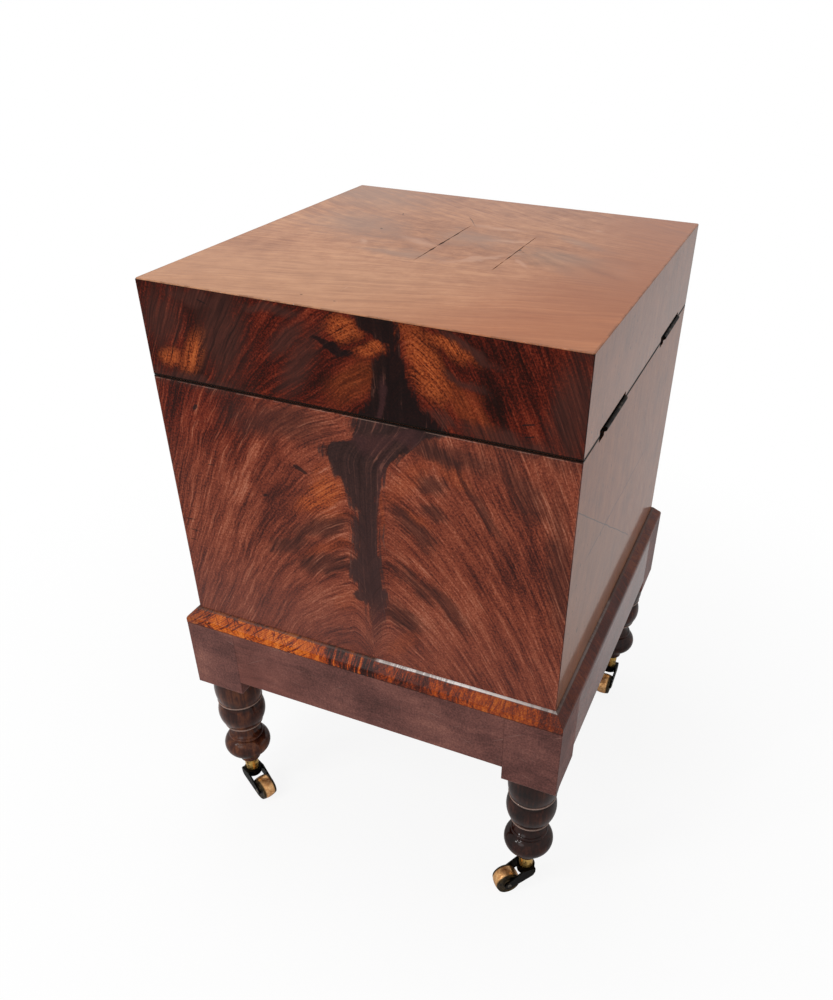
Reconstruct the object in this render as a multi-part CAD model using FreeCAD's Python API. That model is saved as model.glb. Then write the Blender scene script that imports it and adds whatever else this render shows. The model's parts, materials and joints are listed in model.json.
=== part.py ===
"""Cellarette: a veneered wine box with a lift-up lid, on a low stand with bobbin-turned legs and castors.

Millimetres. +Z is up, the front is -Y, the hinges are at the back (+Y). The origin is on the floor, under
the middle of the stand. Left is -X and right is +X, as seen by someone who stands in front of the box.
"""

import FreeCAD, Part
import math
import os

from FreeCAD import Rotation, Vector

# Box
box_width = 450.0
box_depth = 444.0
lid_height = 95.0
case_shown = 291.0  # height of the case that stands clear of the stand's moulding
seam_gap = 1.0  # between the lid's rim and the case's rim
board = 14.0  # thickness of the carcase boards
lid_board = 12.0  # thickness of the lid's top board
veneer = 1.0
arris = 0.8  # rounding of the outer corners
bottom_board = 12.0
bottom_rise = 4.0  # bottom board's underside above the foot of the case
groove = 5.0  # how far the bottom board is let into the walls
glue_gap = 0.1  # room for glue and for fitted loose pieces
cut_past = 1.0  # how far a cutting shape runs past what it cuts

# Lining and bottle division
liner_sheet = 1.0
liner_height = 240.0
division_board = 6.0
division_height = 200.0
cells_each_way = 3

# Stand
moulding_overhang = 13.0
moulding_height = 19.0
moulding_nose = 4.0  # upright part of the moulding, below its rounded shoulder
moulding_shoulder = 7.5  # height of the middle of the rounding
moulding_bow = 2.2  # from there up to the end of the rounding
moulding_flat = 1.5  # flat along the top, against the case
rail_thickness = 22.0
rail_height = 75.0
block_size = 64.0
block_height = 94.0
block_rounding = 1.0
tenon_length = 20.0
tenon_thickness = 10.0
tenon_shoulder = 10.0

# Turned leg: depths are measured down from the underside of the square block
back_leg_set_in = 2.5  # turned parts of the back legs stand this much in front of the middle of their blocks
ring_radius = 30.0
root_radius = 26.5
top_belly = 20.0
top_lip_radius = 28.6
top_lip = 40.4
middle_root_radius = 24.0
middle_belly = 63.8
middle_lip_radius = 24.8
middle_lip = 82.6
lip_flare = 0.9  # the two upper rings end in a small half-round lip
lip_depth = 1.1
neck_root_radius = 18.5
neck_radius = 15.5
neck_waist = 94.5
neck_foot = 102.5
bead_radius = 22.6
bead_height = 5.0
low_root_radius = 20.4
low_belly = 121.0
low_lip_radius = 20.0
low_lip = 137.5
hollow_radius = 14.8
hollow = 142.5
toe_radius = 13.3
turning = 152.5  # whole depth of the turned part

# Castors
wheel_diameter = 32.0
wheel_width = 19.5
tread_crown = 1.6  # rounding of the tread towards its edges
wheel_rim = 3.0
wheel_dish = 1.0  # hollow of the wheel's sides between rim and hub
castor_trail = 26.0
swivel_level = 37.0  # underside of the collar, where the fork turns
castor_collar_height = 22.5
castor_collar_radius = 8.6
castor_lip_radius = 10.4
castor_lip_height = 3.4
castor_lip_step = 1.2
fixing_hole_radius = 1.5
fixing_hole_depth = 3.0
fixing_hole_drop = 8.0  # below the top of the collar
peg_radius = 5.0
peg_length = 30.0
peg_taper = 2.0
pintle_radius = 3.0
pintle_length = 16.0
crown_radius = 11.2
crown_height = 9.0
cheek_thickness = 2.2
cheek_end_radius = 5.6
axle_radius = 2.0
rivet_radius = 3.0
rivet_height = 0.8
swivel_gap = 0.4
wheel_gap = 0.5
running_gap = 0.05
castor_heading = {"front_right": 66.0, "back_right": -48.0, "back_left": -1.0, "front_left": 100.0}
socket_heading = {"front_right": 1.0, "back_right": 75.0, "back_left": 120.0, "front_left": 40.0}

# Hinges: butt hinges let into the two rims, in housings cut for longer ones
hinge_length = 76.0
housing_length = 94.0
housing_inset = 98.0  # from the side of the box to the middle of the housing
hinge_proud = 0.2  # axis outside the back of the box
knuckle_radius = 2.4
knuckle_count = 5
knuckle_gap = 0.3
knuckle_room = 0.9
hinge_pin_radius = 1.2
leaf_thickness = 1.8
leaf_gap = 0.4
leaf_width = 12.0  # leaf inside the back of the box
housing_room = 0.4  # at the ends of the leaves
relief_height = 6.5  # cut up into the back of the lid, over the whole housing
relief_depth = 4.5
overcut_drop = 6.0  # cut down into the back of the case, past the end of the hinge

# Screws
screw_head_radius = 2.9
screw_head_height = 1.4
screw_shank_radius = 1.4
screw_length = 11.0
screw_slot_width = 0.7
screw_slot_depth = 0.5

# Box lock in the middle of the front
lock_width = 64.0
lock_drop = 40.0
lock_thickness = 10.0
lock_sheet = 1.5
selvedge_width = 84.0
selvedge_depth = 12.0
selvedge_thickness = 2.0
bolt_throw = 8.0
bolt_height = 9.0
bolt_finger = 3.2
bolt_finger_thickness = 2.4
bolt_depth = 6.0  # middle of the fingers below the case's rim
bolt_gap = 0.4
staple_spacing = 32.0
staple_thickness = 3.0
staple_width = 5.6
staple_wall = 1.4
keyhole_radius = 2.6
keyhole_slot = 2.6
keyhole_drop = 10.0
keyhole_place = 22.0  # middle of the keyhole's round below the case's rim
escutcheon_radius = 9.0
escutcheon_height = 32.0
escutcheon_thickness = 1.2
escutcheon_proud = 0.5

# Levels and half sizes that follow from the sizes above
toe_level = swivel_level + castor_collar_height
block_level = toe_level + turning
stand_level = block_level + block_height
moulding_level = stand_level + moulding_height
seam_level = moulding_level + case_shown
case_rim = seam_level - seam_gap / 2
lid_rim = seam_level + seam_gap / 2
lid_level = seam_level + lid_height
half_width = box_width / 2
half_depth = box_depth / 2
stand_half_width = half_width + moulding_overhang
stand_half_depth = half_depth + moulding_overhang
wall = board + veneer
inner_half_width = half_width - wall
inner_half_depth = half_depth - wall
floor_level = stand_level + bottom_rise + bottom_board
liner_floor = floor_level + liner_sheet
hinge_y = half_depth + hinge_proud
housing_place = {"left": housing_inset - half_width, "right": half_width - housing_inset}
crown_top = swivel_level - swivel_gap
sides = {"left": (-1, 0), "right": (1, 0), "front": (0, -1), "back": (0, 1)}
corners = {"front_right": (1, -1), "back_right": (1, 1), "back_left": (-1, 1), "front_left": (-1, -1)}


def box(x, y, z):
    """Block between two values of X, of Y and of Z, given in either order."""
    low = Vector(min(x), min(y), min(z))
    high = Vector(max(x), max(y), max(z))
    size = high - low
    return Part.makeBox(size.x, size.y, size.z, low)


def rod(radius, start, end):
    """Cylinder from one point to another."""
    start = Vector(*start)
    along = Vector(*end) - start
    return Part.makeCylinder(radius, along.Length, start, along)


def lathe(start, steps):
    """Solid turned about Z. A step is the next (radius, height), or a pair of them for an arc through the first."""
    edges = []
    here = Vector(start[0], 0, start[1])
    first = here
    for step in steps:
        if isinstance(step[0], tuple):
            via, end = (Vector(radius, 0, height) for radius, height in step)
            edges.append(Part.Arc(here, via, end).toShape())
        else:
            end = Vector(step[0], 0, step[1])
            edges.append(Part.makeLine(here, end))
        here = end
    edges.append(Part.makeLine(here, first))
    face = Part.Face(Part.Wire(edges))
    return face.revolve(Vector(0, 0, 0), Vector(0, 0, 1), 360)


def prism(points, depth):
    """Block whose outline is a list of 3-D points in one plane, pushed along the vector depth."""
    outline = [Vector(*point) for point in points]
    return Part.Face(Part.makePolygon(outline + outline[:1])).extrude(Vector(*depth))


def moved(shape, x=0.0, y=0.0, z=0.0):
    copy = shape.copy()
    copy.translate(Vector(x, y, z))
    return copy


def upright_edges(shape, x_sign, y_sign):
    """Vertical edges at the outermost corner on the given side in X and Y."""
    bounds = shape.BoundBox
    x = bounds.XMax if x_sign > 0 else bounds.XMin
    y = bounds.YMax if y_sign > 0 else bounds.YMin
    found = []
    for edge in shape.Edges:
        first, last = edge.Vertexes[0].Point, edge.Vertexes[-1].Point
        upright = abs(first.z - last.z) > veneer / 2
        on_corner = all(abs(point.x - x) < 1e-6 and abs(point.y - y) < 1e-6 for point in (first, last))
        if upright and on_corner:
            found.append(edge)
    return found


def save(name, shape):
    shape.exportStep("parts/" + name + ".step")


# Carcase -------------------------------------------------------------------------------------------------


def carcase_boards(low, high):
    """Four boards of a frame: left and right run the full depth, front and back fit between them."""
    outer_x = half_width - veneer
    outer_y = half_depth - veneer
    boards = {}
    for name, (sx, sy) in sides.items():
        if sx:
            boards[name] = box((sx * outer_x, sx * inner_half_width), (-outer_y, outer_y), (low, high))
        else:
            reach = inner_half_width
            boards[name] = box((-reach, reach), (sy * outer_y, sy * inner_half_depth), (low, high))
    return boards


def side_veneers(low, high):
    """Four sheets glued over the boards; left and right lap over the edges of front and back."""
    sheets = {}
    for name, (sx, sy) in sides.items():
        if sx:
            sheet = box((sx * half_width, sx * (half_width - veneer)), (-half_depth, half_depth), (low, high))
            rounded = upright_edges(sheet, sx, 1) + upright_edges(sheet, sx, -1)
            sheet = sheet.makeFillet(min(arris, veneer * 0.8), rounded)
        else:
            reach = half_width - veneer
            sheet = box((-reach, reach), (sy * half_depth, sy * (half_depth - veneer)), (low, high))
        sheets[name] = sheet
    return sheets


def bottom_panel(room=0.0):
    reach_x = inner_half_width + groove - glue_gap + room
    reach_y = inner_half_depth + groove - glue_gap + room
    low = stand_level + bottom_rise
    return box((-reach_x, reach_x), (-reach_y, reach_y), (low - room, low + bottom_board + room))


def top_panel():
    """Top board of the lid, which lies on the four lid boards and is flush with them."""
    high = lid_level - veneer
    return box(
        (-(half_width - veneer), half_width - veneer),
        (-(half_depth - veneer), half_depth - veneer),
        (high - lid_board, high),
    )


def top_veneer():
    """Sheet over the whole lid, with its upright corners and top edge eased."""
    sheet = box((-half_width, half_width), (-half_depth, half_depth), (lid_level - veneer, lid_level))
    uprights = [edge for sx, sy in corners.values() for edge in upright_edges(sheet, sx, sy)]
    sheet = sheet.makeFillet(arris * 3, uprights)
    rim = [edge for edge in sheet.Edges if edge.BoundBox.ZMin > lid_level - 1e-6]
    return sheet.makeFillet(min(arris, veneer * 0.8), rim)


# Hinges --------------------------------------------------------------------------------------------------


def hinge_place(side):
    """Middle of the hinge, which stands against the left end of its housing."""
    return housing_place[side] - (housing_length - hinge_length) / 2


def knuckles(owner):
    """Start and end of each knuckle of the case's leaf or of the lid's leaf, from the middle of the hinge."""
    pitch = hinge_length / knuckle_count
    start = 0 if owner == "case" else 1
    spans = []
    for index in range(start, knuckle_count, 2):
        low = -hinge_length / 2 + index * pitch
        spans.append((low + knuckle_gap / 2, low + pitch - knuckle_gap / 2))
    return spans


def hinge_screw_places():
    """Screws of one leaf, from the middle of the hinge and from its axis."""
    y = -(hinge_proud + leaf_width - leaf_width * 0.38)
    spacing = hinge_length * 0.38
    return [(-spacing, y), (0.0, y), (spacing, y)]


def hinge_leaf(owner, side):
    """Flat leaf with its knuckles. The case's leaf lies below the axis and the lid's leaf above it."""
    sign = -1 if owner == "case" else 1
    inner_z = sign * leaf_gap / 2
    outer_z = sign * (leaf_gap / 2 + leaf_thickness)
    clear = knuckle_radius + knuckle_room - glue_gap
    length = (-hinge_length / 2, hinge_length / 2)
    leaf = box(length, (-(hinge_proud + leaf_width), -clear), (inner_z, outer_z))
    for span in knuckles(owner):
        leaf = leaf.fuse(box(span, (-clear, 0), (inner_z, outer_z)))
        leaf = leaf.fuse(rod(knuckle_radius, (span[0], 0, 0), (span[1], 0, 0)))
    leaf = leaf.cut(rod(hinge_pin_radius + running_gap, (-hinge_length, 0, 0), (hinge_length, 0, 0)))
    for x, y in hinge_screw_places():
        leaf = leaf.cut(screw_room((x, y, inner_z), (0, 0, sign)))
    return moved(leaf.removeSplitter(), hinge_place(side), hinge_y, seam_level)


def hinge_pin(side):
    reach = hinge_length / 2
    return moved(rod(hinge_pin_radius, (-reach, 0, 0), (reach, 0, 0)), hinge_place(side), hinge_y, seam_level)


def hinge_housing():
    """What is cut from both rims, both back boards and both back veneers for the two hinges."""
    cuts = []
    depth = leaf_gap / 2 + leaf_thickness + glue_gap
    for side in housing_place:
        left = housing_place[side] - housing_length / 2 - housing_room
        right = hinge_place(side) + hinge_length / 2 + housing_room
        end = housing_place[side] + housing_length / 2
        inner_y = half_depth - leaf_width - glue_gap
        cuts.append(box((left, right), (inner_y, hinge_y), (seam_level - depth, seam_level + depth)))
        room = knuckle_radius + knuckle_room
        cuts.append(rod(room, (left, hinge_y, seam_level), (right, hinge_y, seam_level)))
        relief_y = half_depth - relief_depth
        cuts.append(box((left, end), (relief_y, hinge_y), (seam_level, seam_level + relief_height)))
        cuts.append(box((right, end), (relief_y, hinge_y), (seam_level - overcut_drop, seam_level)))
    return Part.makeCompound(cuts)


# Screws --------------------------------------------------------------------------------------------------


def aimed(shape, point, direction):
    """Shape made head up at the origin, turned so that it is driven along direction at point."""
    copy = shape.copy()
    copy.Placement = FreeCAD.Placement(Vector(*point), Rotation(Vector(0, 0, -1), Vector(*direction)))
    return copy


def screw(point, direction):
    """Countersunk wood screw with a slotted head, flush with the surface at point."""
    head = Part.makeCone(screw_shank_radius, screw_head_radius, screw_head_height, Vector(0, 0, -screw_head_height))
    tip_height = screw_shank_radius * 2
    shank = rod(screw_shank_radius, (0, 0, -screw_head_height), (0, 0, tip_height - screw_length))
    tip = Part.makeCone(0, screw_shank_radius, tip_height, Vector(0, 0, -screw_length))
    slot_half = screw_slot_width / 2
    reach = screw_head_radius * 2
    slot = box((-reach, reach), (-slot_half, slot_half), (-screw_slot_depth, screw_slot_depth))
    return aimed(head.fuse(shank).fuse(tip).cut(slot).removeSplitter(), point, direction)


def screw_room(point, direction):
    """Hole and countersink for a screw, a little larger than the screw."""
    radius = screw_shank_radius + running_gap
    hole = rod(radius, (0, 0, screw_head_height), (0, 0, -screw_length - glue_gap))
    sink = Part.makeCone(
        screw_shank_radius + running_gap,
        screw_head_radius + running_gap,
        screw_head_height,
        Vector(0, 0, -screw_head_height),
    )
    return aimed(hole.fuse(sink), point, direction)


def hinge_screws(owner):
    """Where the screws of both leaves of the case or the lid go, and which way they are driven."""
    sign = -1 if owner == "case" else 1
    z = seam_level + sign * leaf_gap / 2
    return [
        ((hinge_place(side) + x, hinge_y + y, z), (0, 0, sign))
        for side in housing_place
        for x, y in hinge_screw_places()
    ]


def selvedge_screws(owner):
    """Screws of the lock's selvedge in the case's rim, and of the link plate in the lid's rim."""
    sign = -1 if owner == "case" else 1
    z = case_rim if owner == "case" else lid_rim
    x = (selvedge_width + lock_width) / 4
    return [((place, lock_y(), z), (0, 0, sign)) for place in (-x, x)]


# Lock ----------------------------------------------------------------------------------------------------


def lock_y():
    """Middle of the selvedge, the staples and the bolt, in the thickness of the front."""
    return -(inner_half_depth + lock_thickness / 2)


def selvedge_plate(low, high):
    half = selvedge_depth / 2
    y = lock_y()
    plate = box((-selvedge_width / 2, selvedge_width / 2), (y - half, y + half), (low, high))
    return plate


def lock_bodies():
    """Lock case with its selvedge, and the solid block that it fills in the front board."""
    y_out = -(inner_half_depth + lock_thickness)
    y_in = -inner_half_depth
    low = case_rim - lock_drop
    outer = box((-lock_width / 2, lock_width / 2), (y_out, y_in), (low, case_rim - selvedge_thickness))
    sheet = lock_sheet
    cavity = box(
        (-lock_width / 2 + sheet, lock_width / 2 - sheet),
        (y_out + sheet, y_in - sheet),
        (low + sheet, case_rim - selvedge_thickness),
    )
    plate = selvedge_plate(case_rim - selvedge_thickness, case_rim)
    body = outer.cut(cavity).fuse(plate)
    for x in staple_places():
        body = body.cut(staple_room(x))
    for point, direction in selvedge_screws("case"):
        body = body.cut(screw_room(point, direction))
    body = body.cut(keyway(y_out - 1.0, y_out + sheet + 1.0))
    return body.removeSplitter(), outer.fuse(plate)


def staple_places():
    return [-staple_spacing / 2, staple_spacing / 2]


def staple_room(x):
    """Slot in the selvedge through which a staple drops."""
    room = bolt_gap * 2
    half_x = staple_thickness / 2 + room
    half_y = staple_width / 2 + room
    y = lock_y()
    z = (case_rim - selvedge_thickness - 1.0, case_rim + 1.0)
    return box((x - half_x, x + half_x), (y - half_y, y + half_y), z)


def link_plate():
    """Plate in the lid's rim with two pierced staples that the bolt's fingers enter."""
    plate = selvedge_plate(lid_rim, lid_rim + selvedge_thickness)
    y = lock_y()
    eye_y = bolt_finger_thickness / 2 + bolt_gap
    eye_z = bolt_finger / 2 + bolt_gap
    middle = case_rim - bolt_depth
    low = middle - eye_z - staple_wall
    half_y = staple_width / 2
    half_x = staple_thickness / 2
    for x in staple_places():
        plate = plate.fuse(box((x - half_x, x + half_x), (y - half_y, y + half_y), (low, lid_rim)))
        eye = box((x - half_x - 1, x + half_x + 1), (y - eye_y, y + eye_y), (middle - eye_z, middle + eye_z))
        plate = plate.cut(eye)
    for point, direction in selvedge_screws("lid"):
        plate = plate.cut(screw_room(point, direction))
    return plate.removeSplitter()


def lock_bolt():
    """Sliding bolt with two fingers, drawn back clear of the staples."""
    y = lock_y()
    half_y = bolt_finger_thickness / 2
    middle = case_rim - bolt_depth
    rail_top = middle - bolt_finger / 2 - staple_wall - bolt_gap * 3
    length = lock_width - 2 * lock_sheet - bolt_throw - 2 * bolt_gap
    start = -lock_width / 2 + lock_sheet + bolt_gap
    bolt = box((start, start + length), (y - half_y, y + half_y), (rail_top - bolt_height, rail_top))
    finger_length = bolt_throw + bolt_finger
    for x in staple_places():
        tip = x - staple_thickness / 2 - 1.0
        root = tip - finger_length
        top = middle + bolt_finger / 2
        bolt = bolt.fuse(box((root, tip), (y - half_y, y + half_y), (middle - bolt_finger / 2, top)))
        bolt = bolt.fuse(box((root, root + bolt_finger), (y - half_y, y + half_y), (rail_top, top)))
    return bolt.removeSplitter()


def keyway(y_start, y_end):
    """Keyhole cut along Y: a round with a slot below it."""
    z = case_rim - keyhole_place
    hole = rod(keyhole_radius, (0, y_start, z), (0, y_end, z))
    half = keyhole_slot / 2
    return hole.fuse(box((-half, half), (y_start, y_end), (z - keyhole_drop, z)))


def escutcheon_outline(room=0.0):
    """Long plate with round ends, let into the front veneer round the keyhole."""
    radius = escutcheon_radius + room
    middle = case_rim - keyhole_place - keyhole_drop / 2 + keyhole_radius / 2
    rise = escutcheon_height / 2 - escutcheon_radius
    y_start = -half_depth - escutcheon_proud
    y_end = y_start + escutcheon_thickness + room
    plate = box((-radius, radius), (y_start, y_end), (middle - rise, middle + rise))
    for z in (middle - rise, middle + rise):
        plate = plate.fuse(rod(radius, (0, y_start, z), (0, y_end, z)))
    return plate.removeSplitter()


def escutcheon():
    return escutcheon_outline().cut(keyway(-half_depth - board, -inner_half_depth))


# Assembly of the box -------------------------------------------------------------------------------------


def save_case():
    housing = hinge_housing()
    lock, lock_block = lock_bodies()
    boards = carcase_boards(stand_level, case_rim)
    sheets = side_veneers(stand_level, case_rim)
    panel_room = bottom_panel(glue_gap)
    keyhole = keyway(-half_depth - board, -inner_half_depth)
    for name in boards:
        boards[name] = boards[name].cut(panel_room)
    for point, direction in hinge_screws("case"):
        boards["back"] = boards["back"].cut(screw_room(point, direction))
    for point, direction in selvedge_screws("case"):
        boards["front"] = boards["front"].cut(screw_room(point, direction))
    boards["back"] = boards["back"].cut(housing)
    boards["front"] = boards["front"].cut(lock_block).cut(keyhole).cut(escutcheon_outline(glue_gap))
    sheets["back"] = sheets["back"].cut(housing)
    sheets["front"] = sheets["front"].cut(keyhole).cut(escutcheon_outline(glue_gap))
    for name, shape in boards.items():
        save("case_" + name + "_board", shape)
    save("case_side_veneers", Part.makeCompound(list(sheets.values())))
    save("case_bottom_board", bottom_panel())
    save("lock_case", lock)
    save("lock_bolt", lock_bolt())
    save("keyhole_escutcheon", escutcheon())
    places = hinge_screws("case") + selvedge_screws("case")
    save("case_screws", Part.makeCompound([screw(*place) for place in places]))


def save_lid():
    housing = hinge_housing()
    boards = carcase_boards(lid_rim, lid_level - veneer - lid_board)
    sheets = side_veneers(lid_rim, lid_level - veneer)
    for point, direction in hinge_screws("lid"):
        boards["back"] = boards["back"].cut(screw_room(point, direction))
    for point, direction in selvedge_screws("lid"):
        boards["front"] = boards["front"].cut(screw_room(point, direction))
    boards["back"] = boards["back"].cut(housing)
    boards["front"] = boards["front"].cut(selvedge_plate(lid_rim, lid_rim + selvedge_thickness))
    sheets["back"] = sheets["back"].cut(housing)
    for name, shape in boards.items():
        save("lid_" + name + "_board", shape)
    save("lid_side_veneers", Part.makeCompound(list(sheets.values())))
    save("lid_top_board", top_panel())
    save("lid_top_veneer", top_veneer())
    save("lock_link_plate", link_plate())
    places = hinge_screws("lid") + selvedge_screws("lid")
    save("lid_screws", Part.makeCompound([screw(*place) for place in places]))


def save_hinges():
    for side in housing_place:
        save("hinge_case_leaf_" + side, hinge_leaf("case", side))
        save("hinge_lid_leaf_" + side, hinge_leaf("lid", side))
    save("hinge_pins", Part.makeCompound([hinge_pin(side) for side in housing_place]))


# Inside --------------------------------------------------------------------------------------------------


def liner():
    """Open tray of sheet metal, folded to line the lower part of the case."""
    reach_x = inner_half_width - glue_gap
    reach_y = inner_half_depth - glue_gap
    outer = box((-reach_x, reach_x), (-reach_y, reach_y), (floor_level, floor_level + liner_height))
    hollow_x = reach_x - liner_sheet
    hollow_y = reach_y - liner_sheet
    hollow_space = box((-hollow_x, hollow_x), (-hollow_y, hollow_y), (liner_floor, lid_level))
    return outer.cut(hollow_space)


def division_lines(reach):
    """Middles of the division boards, which share the inner width evenly."""
    cell = (2 * reach - (cells_each_way - 1) * division_board) / cells_each_way
    first = -reach + cell + division_board / 2
    return [first + index * (cell + division_board) for index in range(cells_each_way - 1)]


def save_divisions():
    """Boards halved into each other: those across are cut from above, those along from below."""
    reach_x = inner_half_width - liner_sheet - 2 * glue_gap
    reach_y = inner_half_depth - liner_sheet - 2 * glue_gap
    low = liner_floor
    high = low + division_height
    middle = (low + high) / 2
    half = division_board / 2
    lines_x = division_lines(reach_x)
    lines_y = division_lines(reach_y)
    for name, y in zip(("front", "back"), lines_y):
        plank = box((-reach_x, reach_x), (y - half, y + half), (low, high))
        for x in lines_x:
            notch = half + glue_gap
            plank = plank.cut(box((x - notch, x + notch), (y - board, y + board), (middle, high + 1)))
        save("bottle_division_" + name, plank)
    for name, x in zip(("left", "right"), lines_x):
        plank = box((x - half, x + half), (-reach_y, reach_y), (low, high))
        for y in lines_y:
            notch = half + glue_gap
            plank = plank.cut(box((x - board, x + board), (y - notch, y + notch), (low - 1, middle)))
        save("bottle_division_" + name, plank)


# Stand ---------------------------------------------------------------------------------------------------


def rail(name, room=0.0):
    """Rail between two blocks with a tenon at each end; room is added all round for the mortise."""
    sx, sy = sides[name]
    outer = stand_half_width if sx else stand_half_depth
    reach = (stand_half_depth if sx else stand_half_width) - block_size
    low = stand_level - rail_height
    tongue_reach = reach + tenon_length + room
    tongue_out = outer - (rail_thickness - tenon_thickness) / 2 + room
    tongue_in = tongue_out - tenon_thickness - 2 * room
    tongue_z = (low + tenon_shoulder - room, stand_level - tenon_shoulder + room)
    if sx:
        body = box((sx * outer, sx * (outer - rail_thickness)), (-reach, reach), (low, stand_level))
        tongue = box((sx * tongue_out, sx * tongue_in), (-tongue_reach, tongue_reach), tongue_z)
    else:
        body = box((-reach, reach), (sy * outer, sy * (outer - rail_thickness)), (low, stand_level))
        tongue = box((-tongue_reach, tongue_reach), (sy * tongue_out, sy * tongue_in), tongue_z)
    return body.fuse(tongue).removeSplitter()


def moulding(name):
    """One mitred length of the moulding that holds the case: a slope with a rounded shoulder."""
    sx, sy = sides[name]
    inner = (half_width if sx else half_depth) + glue_gap
    outer = stand_half_width if sx else stand_half_depth
    other_inner = (half_depth if sx else half_width) + glue_gap
    other_outer = stand_half_depth if sx else stand_half_width
    slope_end = Vector(outer - moulding_overhang * 0.2, 0, stand_level + moulding_shoulder + moulding_bow)
    nose = Vector(outer, 0, stand_level + moulding_nose)
    bend = Vector(outer - moulding_overhang * 0.055, 0, stand_level + moulding_shoulder)
    flat = Vector(inner + moulding_flat, 0, moulding_level)
    edges = [
        Part.makeLine(Vector(inner, 0, stand_level), Vector(outer, 0, stand_level)),
        Part.makeLine(Vector(outer, 0, stand_level), nose),
        Part.Arc(nose, bend, slope_end).toShape(),
        Part.makeLine(slope_end, flat),
        Part.makeLine(flat, Vector(inner, 0, moulding_level)),
        Part.makeLine(Vector(inner, 0, moulding_level), Vector(inner, 0, stand_level)),
    ]
    section = Part.Face(Part.Wire(edges))
    section.translate(Vector(0, -other_outer, 0))
    length = section.extrude(Vector(0, 2 * other_outer, 0))
    low = stand_level - cut_past
    plan = [
        (outer, -other_outer, low),
        (outer, other_outer, low),
        (inner, other_inner, low),
        (inner, -other_inner, low),
    ]
    piece = length.common(prism(plan, (0, 0, moulding_height + 2 * cut_past)))
    turn = math.degrees(math.atan2(sy, sx))
    piece.rotate(Vector(0, 0, 0), Vector(0, 0, 1), turn)
    return piece


def leg_turning():
    """Three rings, a waist with a bead and a tapered toe, from the block's underside down."""
    return lathe(
        (0, 0),
        [
            (root_radius, 0),
            ((ring_radius, -top_belly), (top_lip_radius - lip_flare, -top_lip + lip_depth)),
            ((top_lip_radius, -top_lip), (top_lip_radius - lip_flare, -top_lip - lip_depth)),
            (middle_root_radius, -top_lip - lip_depth),
            ((ring_radius, -middle_belly), (middle_lip_radius - lip_flare, -middle_lip + lip_depth)),
            ((middle_lip_radius, -middle_lip), (middle_lip_radius - lip_flare, -middle_lip - lip_depth)),
            (neck_root_radius, -middle_lip - lip_depth),
            ((neck_radius, -neck_waist), (low_root_radius, -neck_foot)),
            ((bead_radius, -neck_foot - bead_height / 2), (low_root_radius, -neck_foot - bead_height)),
            ((ring_radius, -low_belly), (low_lip_radius, -low_lip)),
            ((hollow_radius, -hollow), (toe_radius, -turning + lip_depth)),
            (toe_radius, -turning),
            (0, -turning),
        ],
    )


def leg(name):
    """Square block with the turned leg below it, mortised for two rails and bored for the castor's peg."""
    sx, sy = corners[name]
    inner_x = stand_half_width - block_size
    inner_y = stand_half_depth - block_size
    z = (block_level, stand_level)
    block = box((sx * stand_half_width, sx * inner_x), (sy * stand_half_depth, sy * inner_y), z)
    bounds = block.BoundBox
    outer_x = bounds.XMax if sx > 0 else bounds.XMin
    outer_y = bounds.YMax if sy > 0 else bounds.YMin
    foot = []
    for edge in block.Edges:
        middle = edge.CenterOfMass
        low = abs(middle.z - block_level) < 1e-6
        outside = abs(middle.x - outer_x) < 1e-6 or abs(middle.y - outer_y) < 1e-6
        if low and outside:
            foot.append(edge)
    block = block.makeFillet(block_rounding, foot + upright_edges(block, sx, sy))
    axis_x, axis_y = leg_axis(name)
    turned = moved(leg_turning(), axis_x, axis_y, block_level)
    peg = rod(peg_radius + glue_gap, (axis_x, axis_y, toe_level - 1), (axis_x, axis_y, toe_level + peg_length + 1))
    shape = block.fuse(turned)
    for side in (side_of(sx, 0), side_of(0, sy)):
        shape = shape.cut(rail(side, glue_gap))
    return shape.cut(peg).removeSplitter()


def side_of(sx, sy):
    return next(name for name, signs in sides.items() if signs == (sx, sy))


def leg_axis(name):
    """Middle of the turned part, in plan."""
    sx, sy = corners[name]
    set_in = back_leg_set_in if sy > 0 else 0.0
    return sx * (stand_half_width - block_size / 2), sy * (stand_half_depth - block_size / 2) - set_in


def save_stand():
    for name in sides:
        save("stand_" + name + "_rail", rail(name))
        save("stand_" + name + "_moulding", moulding(name))
    for name in corners:
        save("leg_" + name, leg(name))


# Castors -------------------------------------------------------------------------------------------------


def castor_socket():
    """Collar with a lip under the toe, a peg up into the leg and a bore for the fork's pintle."""
    low = swivel_level
    turned = lathe(
        (0, low),
        [
            (castor_collar_radius, low),
            (castor_lip_radius - castor_lip_step, toe_level - castor_lip_height - castor_lip_step),
            (castor_lip_radius, toe_level - castor_lip_height),
            (castor_lip_radius, toe_level),
            (peg_radius, toe_level),
            (peg_radius, toe_level + peg_length - peg_taper),
            (peg_radius - peg_taper, toe_level + peg_length),
            (0, toe_level + peg_length),
        ],
    )
    bore = rod(pintle_radius + running_gap, (0, 0, low - 1), (0, 0, low + pintle_length))
    hole_z = toe_level - fixing_hole_drop
    inner = castor_collar_radius - fixing_hole_depth
    hole = rod(fixing_hole_radius, (inner, 0, hole_z), (castor_lip_radius + 1, 0, hole_z))
    return turned.cut(bore).cut(hole)


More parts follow.
